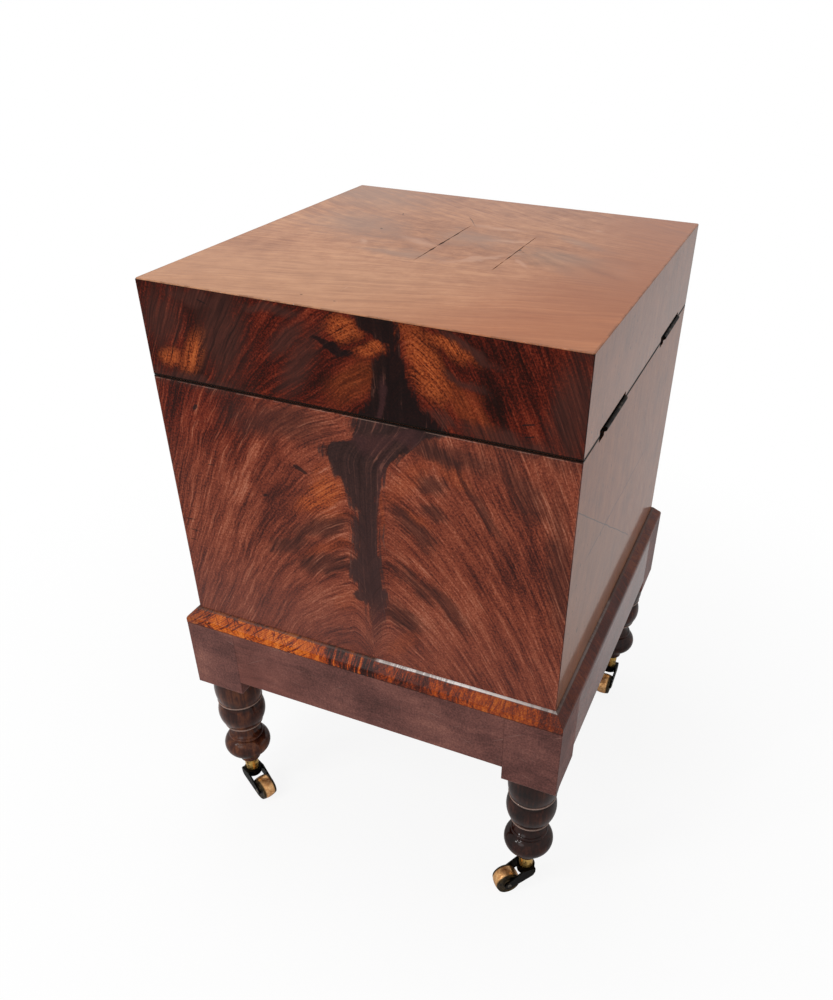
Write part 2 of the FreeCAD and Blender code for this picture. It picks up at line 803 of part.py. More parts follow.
def castor_fork():
    """Crown and two cheeks that trail the wheel along +X, with the pintle on the swivel axis."""
    axle_z = wheel_diameter / 2
    half_gap = wheel_width / 2 + wheel_gap
    half_out = half_gap + cheek_thickness
    top = crown_top
    low = top - crown_height
    crown = Part.makeCylinder(crown_radius, crown_height, Vector(0, 0, low))
    crown = crown.common(box((-crown_radius, castor_trail), (-half_out, half_out), (low, top)))
    tail = crown_radius * 0.72
    shape = crown
    for sign in (-1, 1):
        y = sign * half_out
        thickness = (0, -sign * cheek_thickness, 0)
        plate = prism(
            [
                (-tail, y, top),
                (tail, y, top),
                (castor_trail + cheek_end_radius * 0.6, y, axle_z + cheek_end_radius * 0.8),
                (castor_trail - cheek_end_radius * 0.5, y, axle_z - cheek_end_radius * 0.86),
                (-tail * 0.1, y, low - crown_height * 0.6),
                (-tail * 0.7, y, low - crown_height * 0.3),
                (-tail, y, low + crown_height * 0.3),
            ],
            thickness,
        )
        end = rod(cheek_end_radius, (castor_trail, y, axle_z), (castor_trail, y + thickness[1], axle_z))
        shape = shape.fuse(plate).fuse(end)
    bridge = box((-tail, tail * 0.4), (-half_gap - 0.1, half_gap + 0.1), (low - crown_height * 0.3, top))
    shape = shape.fuse(bridge)
    sweep = wheel_diameter / 2 + wheel_gap * 2
    clearance = rod(sweep, (castor_trail, -half_gap, axle_z), (castor_trail, half_gap, axle_z))
    shape = shape.cut(clearance)
    shape = shape.fuse(rod(pintle_radius, (0, 0, top - 1), (0, 0, swivel_level + pintle_length - 1)))
    hole = rod(axle_radius, (castor_trail, -half_out - 1, axle_z), (castor_trail, half_out + 1, axle_z))
    return shape.cut(hole).removeSplitter()


def castor_axle():
    """Riveted pin through both cheeks."""
    z = wheel_diameter / 2
    half = wheel_width / 2 + wheel_gap + cheek_thickness
    pin = rod(axle_radius, (castor_trail, -half, z), (castor_trail, half, z))
    for sign in (-1, 1):
        start = (castor_trail, sign * half, z)
        head = Part.makeCone(rivet_radius, rivet_radius * 0.6, rivet_height, Vector(*start), Vector(0, sign, 0))
        pin = pin.fuse(head)
    return pin.removeSplitter()


def castor_wheel():
    """Solid wheel with a crowned tread, made about Z and then laid on its axle."""
    radius = wheel_diameter / 2
    half = wheel_width / 2
    hub = radius * 0.42
    bore = axle_radius + running_gap
    wheel = lathe(
        (bore, -half),
        [
            (hub, -half),
            (hub + wheel_dish, -half + wheel_dish),
            (radius - wheel_rim, -half + wheel_dish),
            (radius - tread_crown, -half),
            ((radius, 0), (radius - tread_crown, half)),
            (radius - wheel_rim, half - wheel_dish),
            (hub + wheel_dish, half - wheel_dish),
            (hub, half),
            (bore, half),
        ],
    )
    wheel.rotate(Vector(0, 0, 0), Vector(1, 0, 0), 90)
    return moved(wheel, castor_trail, 0, radius)


def save_castors():
    makers = {
        "socket": castor_socket,
        "fork": castor_fork,
        "axle": castor_axle,
        "wheel": castor_wheel,
    }
    for name in corners:
        x, y = leg_axis(name)
        for piece, make in makers.items():
            shape = make()
            heading = socket_heading if piece == "socket" else castor_heading
            shape.rotate(Vector(0, 0, 0), Vector(0, 0, 1), heading[name])
            save("castor_" + piece + "_" + name, moved(shape, x, y))


os.makedirs("parts", exist_ok=True)
save_case()
save_lid()
save_hinges()
save("case_liner", liner())
save_divisions()
save_stand()
save_castors()
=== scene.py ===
import json
import math
from functools import reduce

import bmesh
import bpy
from mathutils import Matrix, Vector, noise


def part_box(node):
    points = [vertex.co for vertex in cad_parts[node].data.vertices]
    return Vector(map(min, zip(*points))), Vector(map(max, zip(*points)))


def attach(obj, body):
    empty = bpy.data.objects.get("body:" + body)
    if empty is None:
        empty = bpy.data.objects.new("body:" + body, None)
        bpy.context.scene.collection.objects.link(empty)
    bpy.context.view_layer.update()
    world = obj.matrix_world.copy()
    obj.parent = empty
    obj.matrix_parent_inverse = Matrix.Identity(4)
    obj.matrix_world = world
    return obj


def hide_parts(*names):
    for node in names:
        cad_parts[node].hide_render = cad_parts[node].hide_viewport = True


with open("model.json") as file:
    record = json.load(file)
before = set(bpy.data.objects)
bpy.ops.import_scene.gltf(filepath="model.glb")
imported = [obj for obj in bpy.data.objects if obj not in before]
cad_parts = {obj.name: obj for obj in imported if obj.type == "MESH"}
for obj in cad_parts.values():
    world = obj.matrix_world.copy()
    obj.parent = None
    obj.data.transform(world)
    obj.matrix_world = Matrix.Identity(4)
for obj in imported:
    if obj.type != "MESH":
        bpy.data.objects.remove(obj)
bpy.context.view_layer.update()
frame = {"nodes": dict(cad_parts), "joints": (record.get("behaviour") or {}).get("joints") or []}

# Places, read from the frame (metres)
HALF_WIDTH, HALF_DEPTH, LID_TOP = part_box("lid_top_veneer")[1]
SEAM = (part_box("case_side_veneers")[1].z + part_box("lid_side_veneers")[0].z) / 2
RAIL_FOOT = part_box("stand_right_rail")[0].z
MOULDING_FOOT, MOULDING_TOP = [corner.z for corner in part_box("stand_right_moulding")]
LEG_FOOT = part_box("leg_back_right")[0].z
WHEEL_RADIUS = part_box("castor_wheel_back_right")[1].z / 2
CORNERS = ("front_right", "back_right", "back_left", "front_left")
# Each side of the stand, and whether it is finished as an end or as a side
STAND_SIDES = {"front": "end", "back": "end", "left": "side", "right": "side"}

# A leg is turned up to its square block, and the lips of its rings are this far under the block (metres)
TURNED_HEIGHT = 0.1525
LIP_DROPS = (0.0404, 0.0826, 0.1375)
BLOCK_FOOT = LEG_FOOT + TURNED_HEIGHT
RING_LIPS = [BLOCK_FOOT - drop for drop in LIP_DROPS]

# Wear: how far the edges are rounded, and how far under the seam the painted highlight on the case's lip lies
# (metres)
CREST_ROUNDING = 0.0016
MOULDING_RUB = 0.0004
RAIL_RUB = 0.0006
SEAM_LIP = 0.0026

# Splits in the lid's top: the place of their middle, their length, greatest width and seed. The blade that
# cuts them reaches this deep and this far above the top, and its edge is this wide (metres).
SPLITS = (
    ((-0.0190, -0.0130), 0.158, 0.0036, 1.0),
    ((-0.0125, 0.0700), 0.153, 0.0024, 2.0),
)
SPLIT_DEPTH = 0.0008
BLADE_ABOVE = 0.0005
BLADE_EDGE = 0.00008
BLADE_CUTS = 47

# How a copied mesh is made whole, and which of its edges are crisp or rubbed
MERGE_DISTANCE = 0.000002
FLAT_ANGLE = math.radians(0.6)
CRISP_ANGLE = math.radians(32)
RUBBED_ANGLE = math.radians(38)

# Light: the world's share of it, the floor's grey, the white that the camera sees on the floor near the
# object, and from where to where that grows to pure white (metres)
WORLD_LIGHT = 0.60
FLOOR_GREY = 0.88
FLOOR_RADIUS = 9.0
WHITE_NEAR = 0.88
WHITE_FROM, WHITE_FULL = 0.35, 1.1
GLINT_AIM = (0.2, 0.1, 0.2)
# Each lamp: its place, what it points at, its width, its height and its watts
LAMPS = {
    "overhead": ((-0.1, -0.2, 2.7), (0, 0, 0.5), 0.7, 0.7, 15.0),
    "window": ((2.3, -0.5, 1.7), (0, 0, 0.4), 1.2, 1.2, 8.0),
    "door": ((1.7, -1.3, 1.5), (0.1, 0, 0.3), 0.3, 0.3, 6.0),
    "glint_one": ((1.7, -1.35, 2.3), GLINT_AIM, 0.28, 0.10, 4.4),
    "glint_two": ((2.0, -1.0, 2.2), GLINT_AIM, 0.28, 0.10, 4.4),
    "glint_three": ((1.6, -0.7, 2.6), GLINT_AIM, 0.28, 0.10, 4.4),
}

# Camera: where it stands, where it looks, and its roll, lens (mm) and shift
CAMERA_PLACE = (0.8705, 0.3740, 0.9632)
CAMERA_AIM = (-0.754306, -0.298794, -0.584589)
CAMERA_ROLL = math.radians(1.380)
LENS = 31.35
SHIFT = (-0.0498, 0.0799)


# Node trees ---------------------------------------------------------------------------------------


class Signal:
    """One value in a material's node tree, which Python expressions can be written with."""

    def __init__(self, tree, socket):
        self.tree = tree
        self.socket = socket

    def math(self, operation, *others):
        return operate(self.tree, operation, self, *others)

    def __add__(self, other):
        return self.math("ADD", other)

    __radd__ = __add__

    def __sub__(self, other):
        return self.math("SUBTRACT", other)

    def __rsub__(self, other):
        return operate(self.tree, "SUBTRACT", other, self)

    def __mul__(self, other):
        return self.math("MULTIPLY", other)

    __rmul__ = __mul__

    def __truediv__(self, other):
        return self.math("DIVIDE", other)

    def __abs__(self):
        return self.math("ABSOLUTE")


def plug(tree, value, socket):
    """Links a signal to a socket, or sets the socket to a plain value."""
    if isinstance(value, Signal):
        tree.links.new(value.socket, socket)
    else:
        socket.default_value = value


def operate(tree, operation, *values):
    """A Math node on signals and numbers."""
    node = tree.nodes.new("ShaderNodeMath")
    node.operation = operation
    for value, socket in zip(values, node.inputs):
        plug(tree, value, socket)
    return Signal(tree, node.outputs[0])


def larger(a, b):
    return a.math("MAXIMUM", b)


def smaller(a, b):
    return a.math("MINIMUM", b)


class Finish:
    """A material while it is being put together."""

    def __init__(self, name):
        self.material = bpy.data.materials.new(name)
        self.material.use_nodes = True
        self.tree = self.material.node_tree
        self.shader = self.tree.nodes["Principled BSDF"]
        self.place = self.add("ShaderNodeTexCoord", output="Object")

    def add(self, kind, settings=None, sockets=None, output=0):
        """Any node: its settings first, then the values or links of its sockets."""
        node = self.tree.nodes.new(kind)
        for name, value in (settings or {}).items():
            setattr(node, name, value)
        for name, value in (sockets or {}).items():
            plug(self.tree, value, node.inputs[name])
        return Signal(self.tree, node.outputs[output])

    def parts(self, vector):
        """The three numbers of a vector."""
        split = self.tree.nodes.new("ShaderNodeSeparateXYZ")
        plug(self.tree, vector, split.inputs[0])
        return [Signal(self.tree, socket) for socket in split.outputs]

    def vector(self, x, y, z=0.0):
        return self.add("ShaderNodeCombineXYZ", sockets={0: x, 1: y, 2: z})

    def noise(self, vector, scale, detail, roughness):
        """Grain, clouds or grit from 0 to 1, mostly near 0.5."""
        sockets = {"Vector": vector, "Scale": scale, "Detail": detail, "Roughness": roughness}
        return self.add("ShaderNodeTexNoise", sockets=sockets)

    def step(self, value, low, high, start=0.0, end=1.0):
        """Goes smoothly from start to end while value goes from low to high. It needs no clamp of its own."""
        sockets = {"Value": value, "From Min": low, "From Max": high, "To Min": start, "To Max": end}
        return self.add("ShaderNodeMapRange", {"interpolation_type": "SMOOTHSTEP", "clamp": False}, sockets)

    def measure(self, operation, first, second=None):
        """Vector maths; a length comes back as one value, everything else as a vector."""
        sockets = {0: first} if second is None else {0: first, 1: second}
        output = "Value" if operation == "LENGTH" else "Vector"
        return self.add("ShaderNodeVectorMath", {"operation": operation}, sockets, output)

    def ramp(self, value, stops):
        """A colour for each value, from stops of a position and a colour."""
        node = self.tree.nodes.new("ShaderNodeValToRGB")
        plug(self.tree, value, node.inputs[0])
        elements = node.color_ramp.elements
        while len(elements) < len(stops):
            elements.new(0.5)
        for element, (position, colour) in zip(elements, stops):
            element.position = position
            element.color = (*colour, 1.0)
        return Signal(self.tree, node.outputs[0])

    def mix(self, factor, first, second):
        """The first colour where factor is 0, the second where it is 1."""
        colours = [value if isinstance(value, Signal) else (*value, 1.0) for value in (first, second)]
        sockets = {0: factor, 6: colours[0], 7: colours[1]}
        return self.add("ShaderNodeMix", {"data_type": "RGBA"}, sockets, output=2)

    def reach(self, place, mark):
        """How far a place is from the middle of a spot, where 1 is the spot's edge."""
        across, up, length, width, turn = mark
        sockets = {
            "Vector": place,
            "Location": (across, up, 0.0),
            "Rotation": (0.0, 0.0, math.radians(turn)),
            "Scale": (length, width, 1.0),
        }
        return self.measure("LENGTH", self.add("ShaderNodeMapping", {"vector_type": "TEXTURE"}, sockets))

    def spots(self, place, marks, rag, low, high):
        """1 in the middle of the spots, 0 outside them, with rag to fray their edges."""
        nearest = reduce(smaller, (self.reach(place, mark) for mark in marks))
        return self.step(nearest + rag, low, high, 1.0, 0.0)

    def bump(self, height, strength, distance):
        sockets = {"Strength": strength, "Distance": distance, "Height": height}
        return self.add("ShaderNodeBump", sockets=sockets)

    def finish(self, colour, roughness, normal, **constants):
        """Links what varies and sets what is the same all over on the shader's own sockets."""
        plug(self.tree, colour, self.shader.inputs["Base Color"])
        plug(self.tree, roughness, self.shader.inputs["Roughness"])
        plug(self.tree, normal, self.shader.inputs["Normal"])
        for name, value in constants.items():
            self.shader.inputs[name.replace("_", " ")].default_value = value
        return self.material


# Wood ---------------------------------------------------------------------------------------------

# Flaws in the back: a slanting crease, open on one half, and a level split (metres)
BACK_CREASE = Vector((0.225, 0.0, 0.566))
CREASE_SLOPE = 0.668
BACK_SPLIT = Vector((0.040, 0.0, 0.481))
POLISH = {"Coat_Roughness": 0.08, "Specular_IOR_Level": 0.04}

# The figure of a side veneer, in tenths of a metre from the middle of the face and from the seam. The plume
# is given by its height and by where its left and right edges are there. Each spot is its place across and
# up, its half length and half width, and its turn in degrees. The arches of the fibres have a crown of this
# half width.
TENTHS = 10.0
ARCH_CROWN = 0.22
PLUME_BELOW, PLUME_SPAN = 3.0, 4.0
PLUME = (
    (-3.00, 0.10, 0.12),
    (-2.70, 0.03, 0.17),
    (-2.45, 0.06, 0.24),
    (-2.20, 0.02, 0.30),
    (-1.98, -0.06, 0.30),
    (-1.80, -0.14, 0.26),
    (-1.62, -0.08, 0.25),
    (-1.42, -0.05, 0.25),
    (-1.22, -0.06, 0.26),
    (-1.05, -0.01, 0.25),
    (-0.88, -0.10, 0.26),
    (-0.68, -0.19, 0.29),
    (-0.56, -0.26, 0.34),
    (-0.48, -0.34, 0.38),
    (-0.40, -0.37, 0.46),
    (-0.31, -0.20, 0.54),
    (-0.26, -0.03, 0.62),
    (-0.12, 0.00, 0.74),
    (0.00, 0.03, 0.98),
    (0.09, 0.14, 0.86),
    (0.20, 0.23, 0.73),
    (0.36, 0.25, 0.66),
    (0.52, 0.25, 0.60),
    (0.64, 0.37, 0.54),
    (0.73, 0.38, 0.51),
    (0.82, 0.17, 0.50),
    (1.00, 0.08, 0.48),
)
STAINS = (
    (-0.16, 0.62, 0.22, 0.055, -10),
    (-0.02, -2.10, 0.10, 0.07, 0),
    (0.36, 0.84, 0.03, 0.020, 60),
)
LOBES = (
    (-0.42, -1.34, 0.40, 0.12, 24),
    (-0.42, -1.80, 0.40, 0.11, 20),
    (-0.86, -1.66, 0.30, 0.09, 24),
    (0.86, -0.22, 0.26, 0.10, -26),
    (0.83, -0.55, 0.15, 0.09, -10),
    (0.84, -0.86, 0.17, 0.09, -20),
    (0.63, -1.10, 0.28, 0.11, -40),
    (0.62, -1.76, 0.28, 0.10, -42),
    (0.50, -2.22, 0.24, 0.13, -22),
    (1.12, 0.50, 0.19, 0.05, -18),
    (0.88, 0.13, 0.14, 0.07, -20),
    (1.38, -0.76, 0.36, 0.07, -54),
)
SHADES = (
    (-1.50, 0.84, 0.48, 0.09, -6),
    (-0.78, 0.86, 0.36, 0.06, -4),
    (-0.62, 0.62, 0.30, 0.10, 40),
    (-1.28, 0.52, 0.52, 0.30, 84),
    (-1.98, 0.62, 0.30, 0.26, 80),
    (-0.52, 0.40, 0.42, 0.13, 58),
    (-1.70, 0.02, 0.60, 0.10, 0),
    (-0.85, -0.24, 0.62, 0.20, 6),
    (2.10, 0.45, 0.55, 0.22, 86),
    (1.62, 0.03, 0.60, 0.11, -6),
    (1.08, -0.20, 0.50, 0.13, -4),
    (1.72, -0.38, 0.42, 0.15, -50),
    (2.12, -1.20, 0.80, 0.13, -84),
    (0.96, -1.92, 0.34, 0.10, -45),
    (1.15, 0.82, 0.30, 0.05, -30),
)
GLOWS = (
    (-0.34, -0.90, 0.31, 0.19, 74),
    (-0.50, -1.08, 0.20, 0.10, 20),
    (-0.02, 0.80, 0.19, 0.09, 8),
    (0.24, 0.66, 0.17, 0.07, 22),
    (-1.70, 0.30, 0.26, 0.10, 58),
    (-1.96, 0.22, 0.13, 0.08, 20),
    (0.74, 0.60, 0.36, 0.13, -62),
    (0.98, 0.80, 0.20, 0.07, -24),
)
WARMTH = (
    (-0.36, -1.57, 0.34, 0.06, 33),
    (-0.20, -2.20, 0.22, 0.13, 40),
    (0.04, 0.32, 0.34, 0.17, 42),
    (1.16, 0.27, 0.36, 0.13, -46),
    (0.56, -0.58, 0.30, 0.11, 50),
    (1.00, -0.40, 0.28, 0.08, -28),
    (0.66, -0.96, 0.16, 0.06, -30),
    (0.44, -2.62, 0.28, 0.10, 50),
    (0.29, -0.98, 0.30, 0.022, 88),
    (0.60, -0.12, 0.13, 0.020, 80),
    (-0.30, -1.20, 0.26, 0.05, 26),
)
MOTTLES = (
    (0.20, -0.24, 0.22, 0.13, 0),
    (0.55, -0.13, 0.16, 0.08, 0),
    (0.30, -0.66, 0.30, 0.05, 84),
    (0.30, 0.14, 0.26, 0.035, 82),
    (0.22, -2.30, 0.20, 0.05, 60),
)
SCARS = (
    (-0.61, -0.71, 0.10, 0.025, -24),
    (-1.07, -1.11, 0.035, 0.016, 20),
    (-1.78, -0.27, 0.045, 0.022, 40),
    (-2.10, -1.66, 0.07, 0.007, 4),
    (-2.06, -1.80, 0.09, 0.006, -3),
    (-2.12, -1.93, 0.05, 0.006, 2),
    (-1.70, -0.90, 0.05, 0.006, 8),
    (1.72, 0.24, 0.07, 0.010, 14),
    (1.74, 0.13, 0.06, 0.008, 16),
    (-1.50, 0.83, 0.06, 0.007, -16),
)


def plume_edges(finish, height):
    """Where the plume's left and right edges are at a height, each from 0 to 1 for -1 to 1."""
    stops = [
        ((level + PLUME_BELOW) / PLUME_SPAN, ((left + 1.0) / 2.0, (right + 1.0) / 2.0, 0.0))
        for level, left, right in PLUME
    ]
    return finish.parts(finish.ramp((height + PLUME_BELOW) / PLUME_SPAN, stops))[:2]


def back_veneer(finish, x, z, face, wander, shiver, blotch, grit):
    """Straight grain of the back, with its crease, its split and small bruises."""
    straight = finish.noise(finish.vector(face * 160.0, z * 9.0 + wander, 50.0), 1.0, 4.0, 0.62)
    tone = 0.5 + (straight - 0.5) * 0.45 + blotch * 0.9 + grit * 0.5
    colour = finish.ramp(tone, [(0.25, (0.150, 0.050, 0.024)), (0.75, (0.330, 0.118, 0.052))])
    crease = z - (BACK_CREASE.z + (x - BACK_CREASE.x) * CREASE_SLOPE + shiver * 0.003)
    colour = finish.mix(finish.step(crease, -0.0010, 0.0010, 0.35, 0.0), colour, (0.215, 0.105, 0.060))
    open_half = finish.step(x, -0.060, -0.050)
    opened = finish.step(abs(crease), 0.0002, 0.0011, 0.75, 0.0) * open_half
    split = finish.step(abs(z - BACK_SPLIT.z + (blotch + shiver) * 0.004), 0.0002, 0.0010, 0.8, 0.0)
    split = split * finish.step(abs(x - BACK_SPLIT.x), 0.115, 0.135, 1.0, 0.0)
    split = split * finish.step(blotch, -0.16, -0.06)
    colour = finish.mix(larger(opened, split), colour, (0.020, 0.008, 0.006))
    nicks = finish.noise(finish.vector(face * 260.0, z * 95.0, 55.0), 1.0, 1.0, 0.5)
    return finish.mix(finish.step(nicks + blotch * 0.30, 0.70, 0.77) * 0.90, colour, (0.016, 0.007, 0.005))


def edge_wear_shade_and_highlight(finish, colour, x, y, z, figured, blotch, grit):
    """Painted shade along the seam, a painted highlight on the case's lip under it, rubbed edges, and painted
    shade in the hinges' slots. Returns colour and the seam's painted shade.
    """
    # painted shade in the gap between lid and case
    seam_shade = finish.step(abs(z - SEAM) + grit * 0.0014 + blotch * 0.0010, 0.0015, 0.0025, 1.0, 0.0)
    top_edge = finish.step(LID_TOP - z + blotch * 0.004 + grit * 0.0014, 0.0006, 0.0020, 1.0, 0.0) * figured
    colour = finish.mix(larger(seam_shade * 0.93, top_edge * 0.75), colour, (0.006, 0.004, 0.003))
    # painted highlight: a pale line on the case's upper edge, just under the seam
    lip = finish.step(abs(z - SEAM + SEAM_LIP + grit * 0.0006), 0.0002, 0.0006, 1.0, 0.0)
    lip = lip * finish.step(blotch, -0.06, 0.06)
    colour = finish.mix(lip * 0.45 * figured, colour, (0.300, 0.190, 0.150))
    from_side = HALF_WIDTH - abs(x)
    from_end = HALF_DEPTH - abs(y)
    rubbed = finish.step(from_side + from_end + grit * 0.0012, 0.0008, 0.0016, 1.0, 0.0)
    rubbed = rubbed * finish.step(blotch, -0.05, 0.10)
    colour = finish.mix(rubbed * 0.40 * figured, colour, (0.250, 0.105, 0.075))
    # painted shade on the faces set back from the outside, inside the hinges' slots
    slot_shade = finish.step(smaller(from_side, from_end), 0.00005, 0.00012)
    return finish.mix(slot_shade * 0.9, colour, (0.008, 0.005, 0.004)), seam_shade


def flame_veneer():
    """Crotch mahogany on the upright faces: a dark plume, with fibres that arch over on either side."""
    finish = Finish("flame_veneer")
    x, y, z = finish.parts(finish.place)
    # the right and left faces are sides, each face has a seed of its own, and the back has no figure
    on_side = finish.step(abs(x), HALF_WIDTH - 0.0022, HALF_WIDTH - 0.0016)
    to_right = finish.step(x, -0.01, 0.01)
    to_back = finish.step(y, -0.01, 0.01)
    face = y * (to_right * 2.0 - 1.0) * on_side + x * (1.0 - to_back * 2.0) * (1.0 - on_side)
    seed = on_side * (1.0 - to_right) * 7.0 + (1.0 - on_side) * (3.0 + to_back * 8.0)
    plain = (1.0 - on_side) * to_back
    figured = 1.0 - plain
    u = face * TENTHS
    v = (z - SEAM) * TENTHS
    in_lid = finish.step(v, -0.01, 0.01)
    # slow wander, so that no line is drawn with a ruler
    wander = finish.noise(finish.vector(u, v, seed), 0.8, 2.0, 0.5) - 0.5
    shiver = finish.noise(finish.vector(u, v, seed + 4.0), 4.0, 3.0, 0.55) - 0.5
    blotch = finish.noise(finish.vector(u * 2.4, v * 2.0, seed + 9.0), 1.0, 5.0, 0.68) - 0.5
    grit = finish.noise(finish.vector(u, v, seed + 11.0), 46.0, 3.0, 0.70) - 0.5
    # fibres that arch over from the middle line, which leans aside near the seam
    lean = finish.step(v, -0.55, 0.05) * finish.step(abs(u - 0.3), 0.3, 1.4, 1.0, 0.0)
    offset = u - (0.10 + lean * 0.32 + wander * 0.10 + shiver * 0.03)
    side = abs(offset)
    outer = larger(side - ARCH_CROWN, 0.0)
    inner = larger(ARCH_CROWN - side, 0.0)
    rise = v + wander * 0.28 + shiver * 0.030
    arches = rise + outer * 0.55 + outer * outer * 0.50 + inner * inner * 5.0
    left = seed + finish.step(offset, -0.02, 0.02) * 3.0
    run = side * 0.6 - v * 0.4
    streaks = finish.noise(finish.vector(arches * 15.0 + grit * 0.3, run * 2.4, left), 1.0, 5.0, 0.72)
    close = finish.noise(finish.vector(arches * 44.0, run * 3.2, left + 21.0), 1.0, 3.0, 0.65)
    apart = finish.noise(finish.vector(arches * 19.0, run * 2.6, left + 25.0), 1.0, 3.0, 0.65)
    far = finish.step(outer, 0.30, 1.10)
    lines = close * (1.0 - far) + apart * far
    bands = finish.noise(finish.vector(arches * 3.8 + blotch * 0.6, run * 1.2, left + 7.0), 1.0, 4.0, 0.62)
    clouds = finish.noise(finish.vector(arches * 1.1 + blotch, run * 1.1, left + 14.0), 1.0, 3.0, 0.55)
    # upright fibres of the plume, gathered like a sheaf
    sheaf = abs(v + 1.3) * 0.35 + 0.45
    upright = finish.noise(finish.vector(offset / sheaf * 14.0, v * 0.9 + shiver, seed), 1.0, 4.0, 0.66)
    # the plume, whose edges are looked up by height
    left_edge, right_edge = plume_edges(finish, v + shiver * 0.10)
    place_u = u + wander * 0.06 + shiver * 0.10
    fray = (bands - 0.5) * 0.10 + (streaks - 0.5) * 0.16 + (upright - 0.5) * 0.34 + blotch * 0.18
    depth = smaller(place_u - (left_edge * 2.0 - 1.0), (right_edge * 2.0 - 1.0) - place_u)
    plume = finish.step(depth + fray, -0.035, 0.045) * figured * finish.step(v, -2.9, -2.0, 0.10, 1.0)
    near = finish.step(depth + fray, -0.10, 0.05)
    fibres = streaks * (1.0 - near) + upright * near
    # spots of the figure
    spot_place = finish.vector(u + wander * 0.10 + shiver * 0.14, v + wander * 0.10 + shiver * 0.22)
    rag = (streaks - 0.5) * 1.1 + (bands - 0.5) * 0.9 + blotch * 0.9 + (lines - 0.5) * 0.6
    stains = finish.spots(spot_place, STAINS, rag * 0.5, 0.75, 1.15) * figured
    lobes = finish.spots(spot_place, LOBES, rag * 1.5, 0.45, 1.45) * figured
    shades = finish.spots(spot_place, SHADES, rag, 0.30, 1.50) * figured
    broken = finish.step(lines * 0.6 + streaks * 0.4 + grit * 0.7 + blotch * 0.3, 0.36, 0.56, 0.20, 1.0)
    glows = finish.spots(spot_place, GLOWS, rag * 1.7, 0.35, 1.55) * figured * broken
    warmth = finish.spots(spot_place, WARMTH, rag, 0.50, 1.40) * figured
    scars = finish.spots(finish.vector(u, v), SCARS, (fibres - 0.5) * 1.5, 0.7, 1.2) * figured
    # the wood itself, redder in the lid
    tone = 0.54 + (streaks - 0.5) * 0.90 + (lines - 0.5) * 0.94
    tone = tone + (bands - 0.5) * 0.84 + (clouds - 0.5) * 0.72
    dim = finish.step(u + wander, -1.7, -0.2, 1.0, 0.0) * finish.step(v, -1.5, -0.2)
    tone = tone + blotch * 0.42 + grit * 1.20 - in_lid * 0.13 - dim * 0.07
    colour = finish.ramp(
        tone,
        [
            (0.08, (0.022, 0.006, 0.005)),
            (0.32, (0.070, 0.015, 0.010)),
            (0.52, (0.163, 0.033, 0.017)),
            (0.72, (0.260, 0.064, 0.032)),
            (1.00, (0.420, 0.150, 0.088)),
        ],
    )
    red = finish.ramp(
        tone,
        [
            (0.08, (0.010, 0.002, 0.001)),
            (0.32, (0.032, 0.004, 0.002)),
            (0.52, (0.094, 0.010, 0.004)),
            (0.72, (0.170, 0.025, 0.010)),
            (1.00, (0.320, 0.080, 0.036)),
        ],
    )
    colour = finish.mix(larger(in_lid, dim), colour, red)
    # glowing, greyed and shaded parts
    heat = streaks * 0.5 + lines * 0.5 + grit * 0.5 + blotch * 0.3
    flare = finish.ramp(
        heat, [(0.26, (0.060, 0.011, 0.005)), (0.48, (0.300, 0.054, 0.013)), (0.72, (0.600, 0.160, 0.042))]
    )
    colour = finish.mix(warmth * 0.55, colour, finish.mix(0.45, colour, flare))
    colour = finish.mix(glows * 0.88, colour, flare)
    # painted reflection: a greyish haze that dulls the lower part of the case
    grey = finish.step(v, -3.0, -1.5, 0.40, 0.0) * finish.step(u, -0.8, 1.2, 1.0, 0.45)
    colour = finish.mix(grey, colour, finish.mix(lines, (0.070, 0.028, 0.024), (0.215, 0.092, 0.076)))
    shade = finish.ramp(
        lines * 0.6 + streaks * 0.4, [(0.34, (0.018, 0.007, 0.006)), (0.66, (0.085, 0.026, 0.018))]
    )
    colour = finish.mix(shades * (0.66 + in_lid * 0.16), colour, shade)
    colour = finish.mix(lobes * 0.74, colour, shade)
    # the plume's own colour, paler towards its foot and mottled
    deep = finish.ramp(
        upright + blotch * 0.4 + grit * 0.3,
        [(0.34, (0.009, 0.005, 0.005)), (0.54, (0.026, 0.013, 0.012)), (0.80, (0.090, 0.034, 0.026))],
    )
    pale_foot = finish.step(v, -2.2, 0.0, 0.45, 0.0)
    deep = finish.mix(pale_foot, deep, (0.062, 0.026, 0.024))
    deep = finish.mix(in_lid * 0.85, deep, (0.005, 0.002, 0.002))
    mottles = finish.spots(spot_place, MOTTLES, rag * 1.6, 0.40, 1.40) * figured
    deep = finish.mix(mottles * 0.60, deep, finish.mix(grit, (0.050, 0.018, 0.018), (0.200, 0.070, 0.062)))
    colour = finish.mix(larger(plume * 0.96, stains * 0.92), colour, deep)
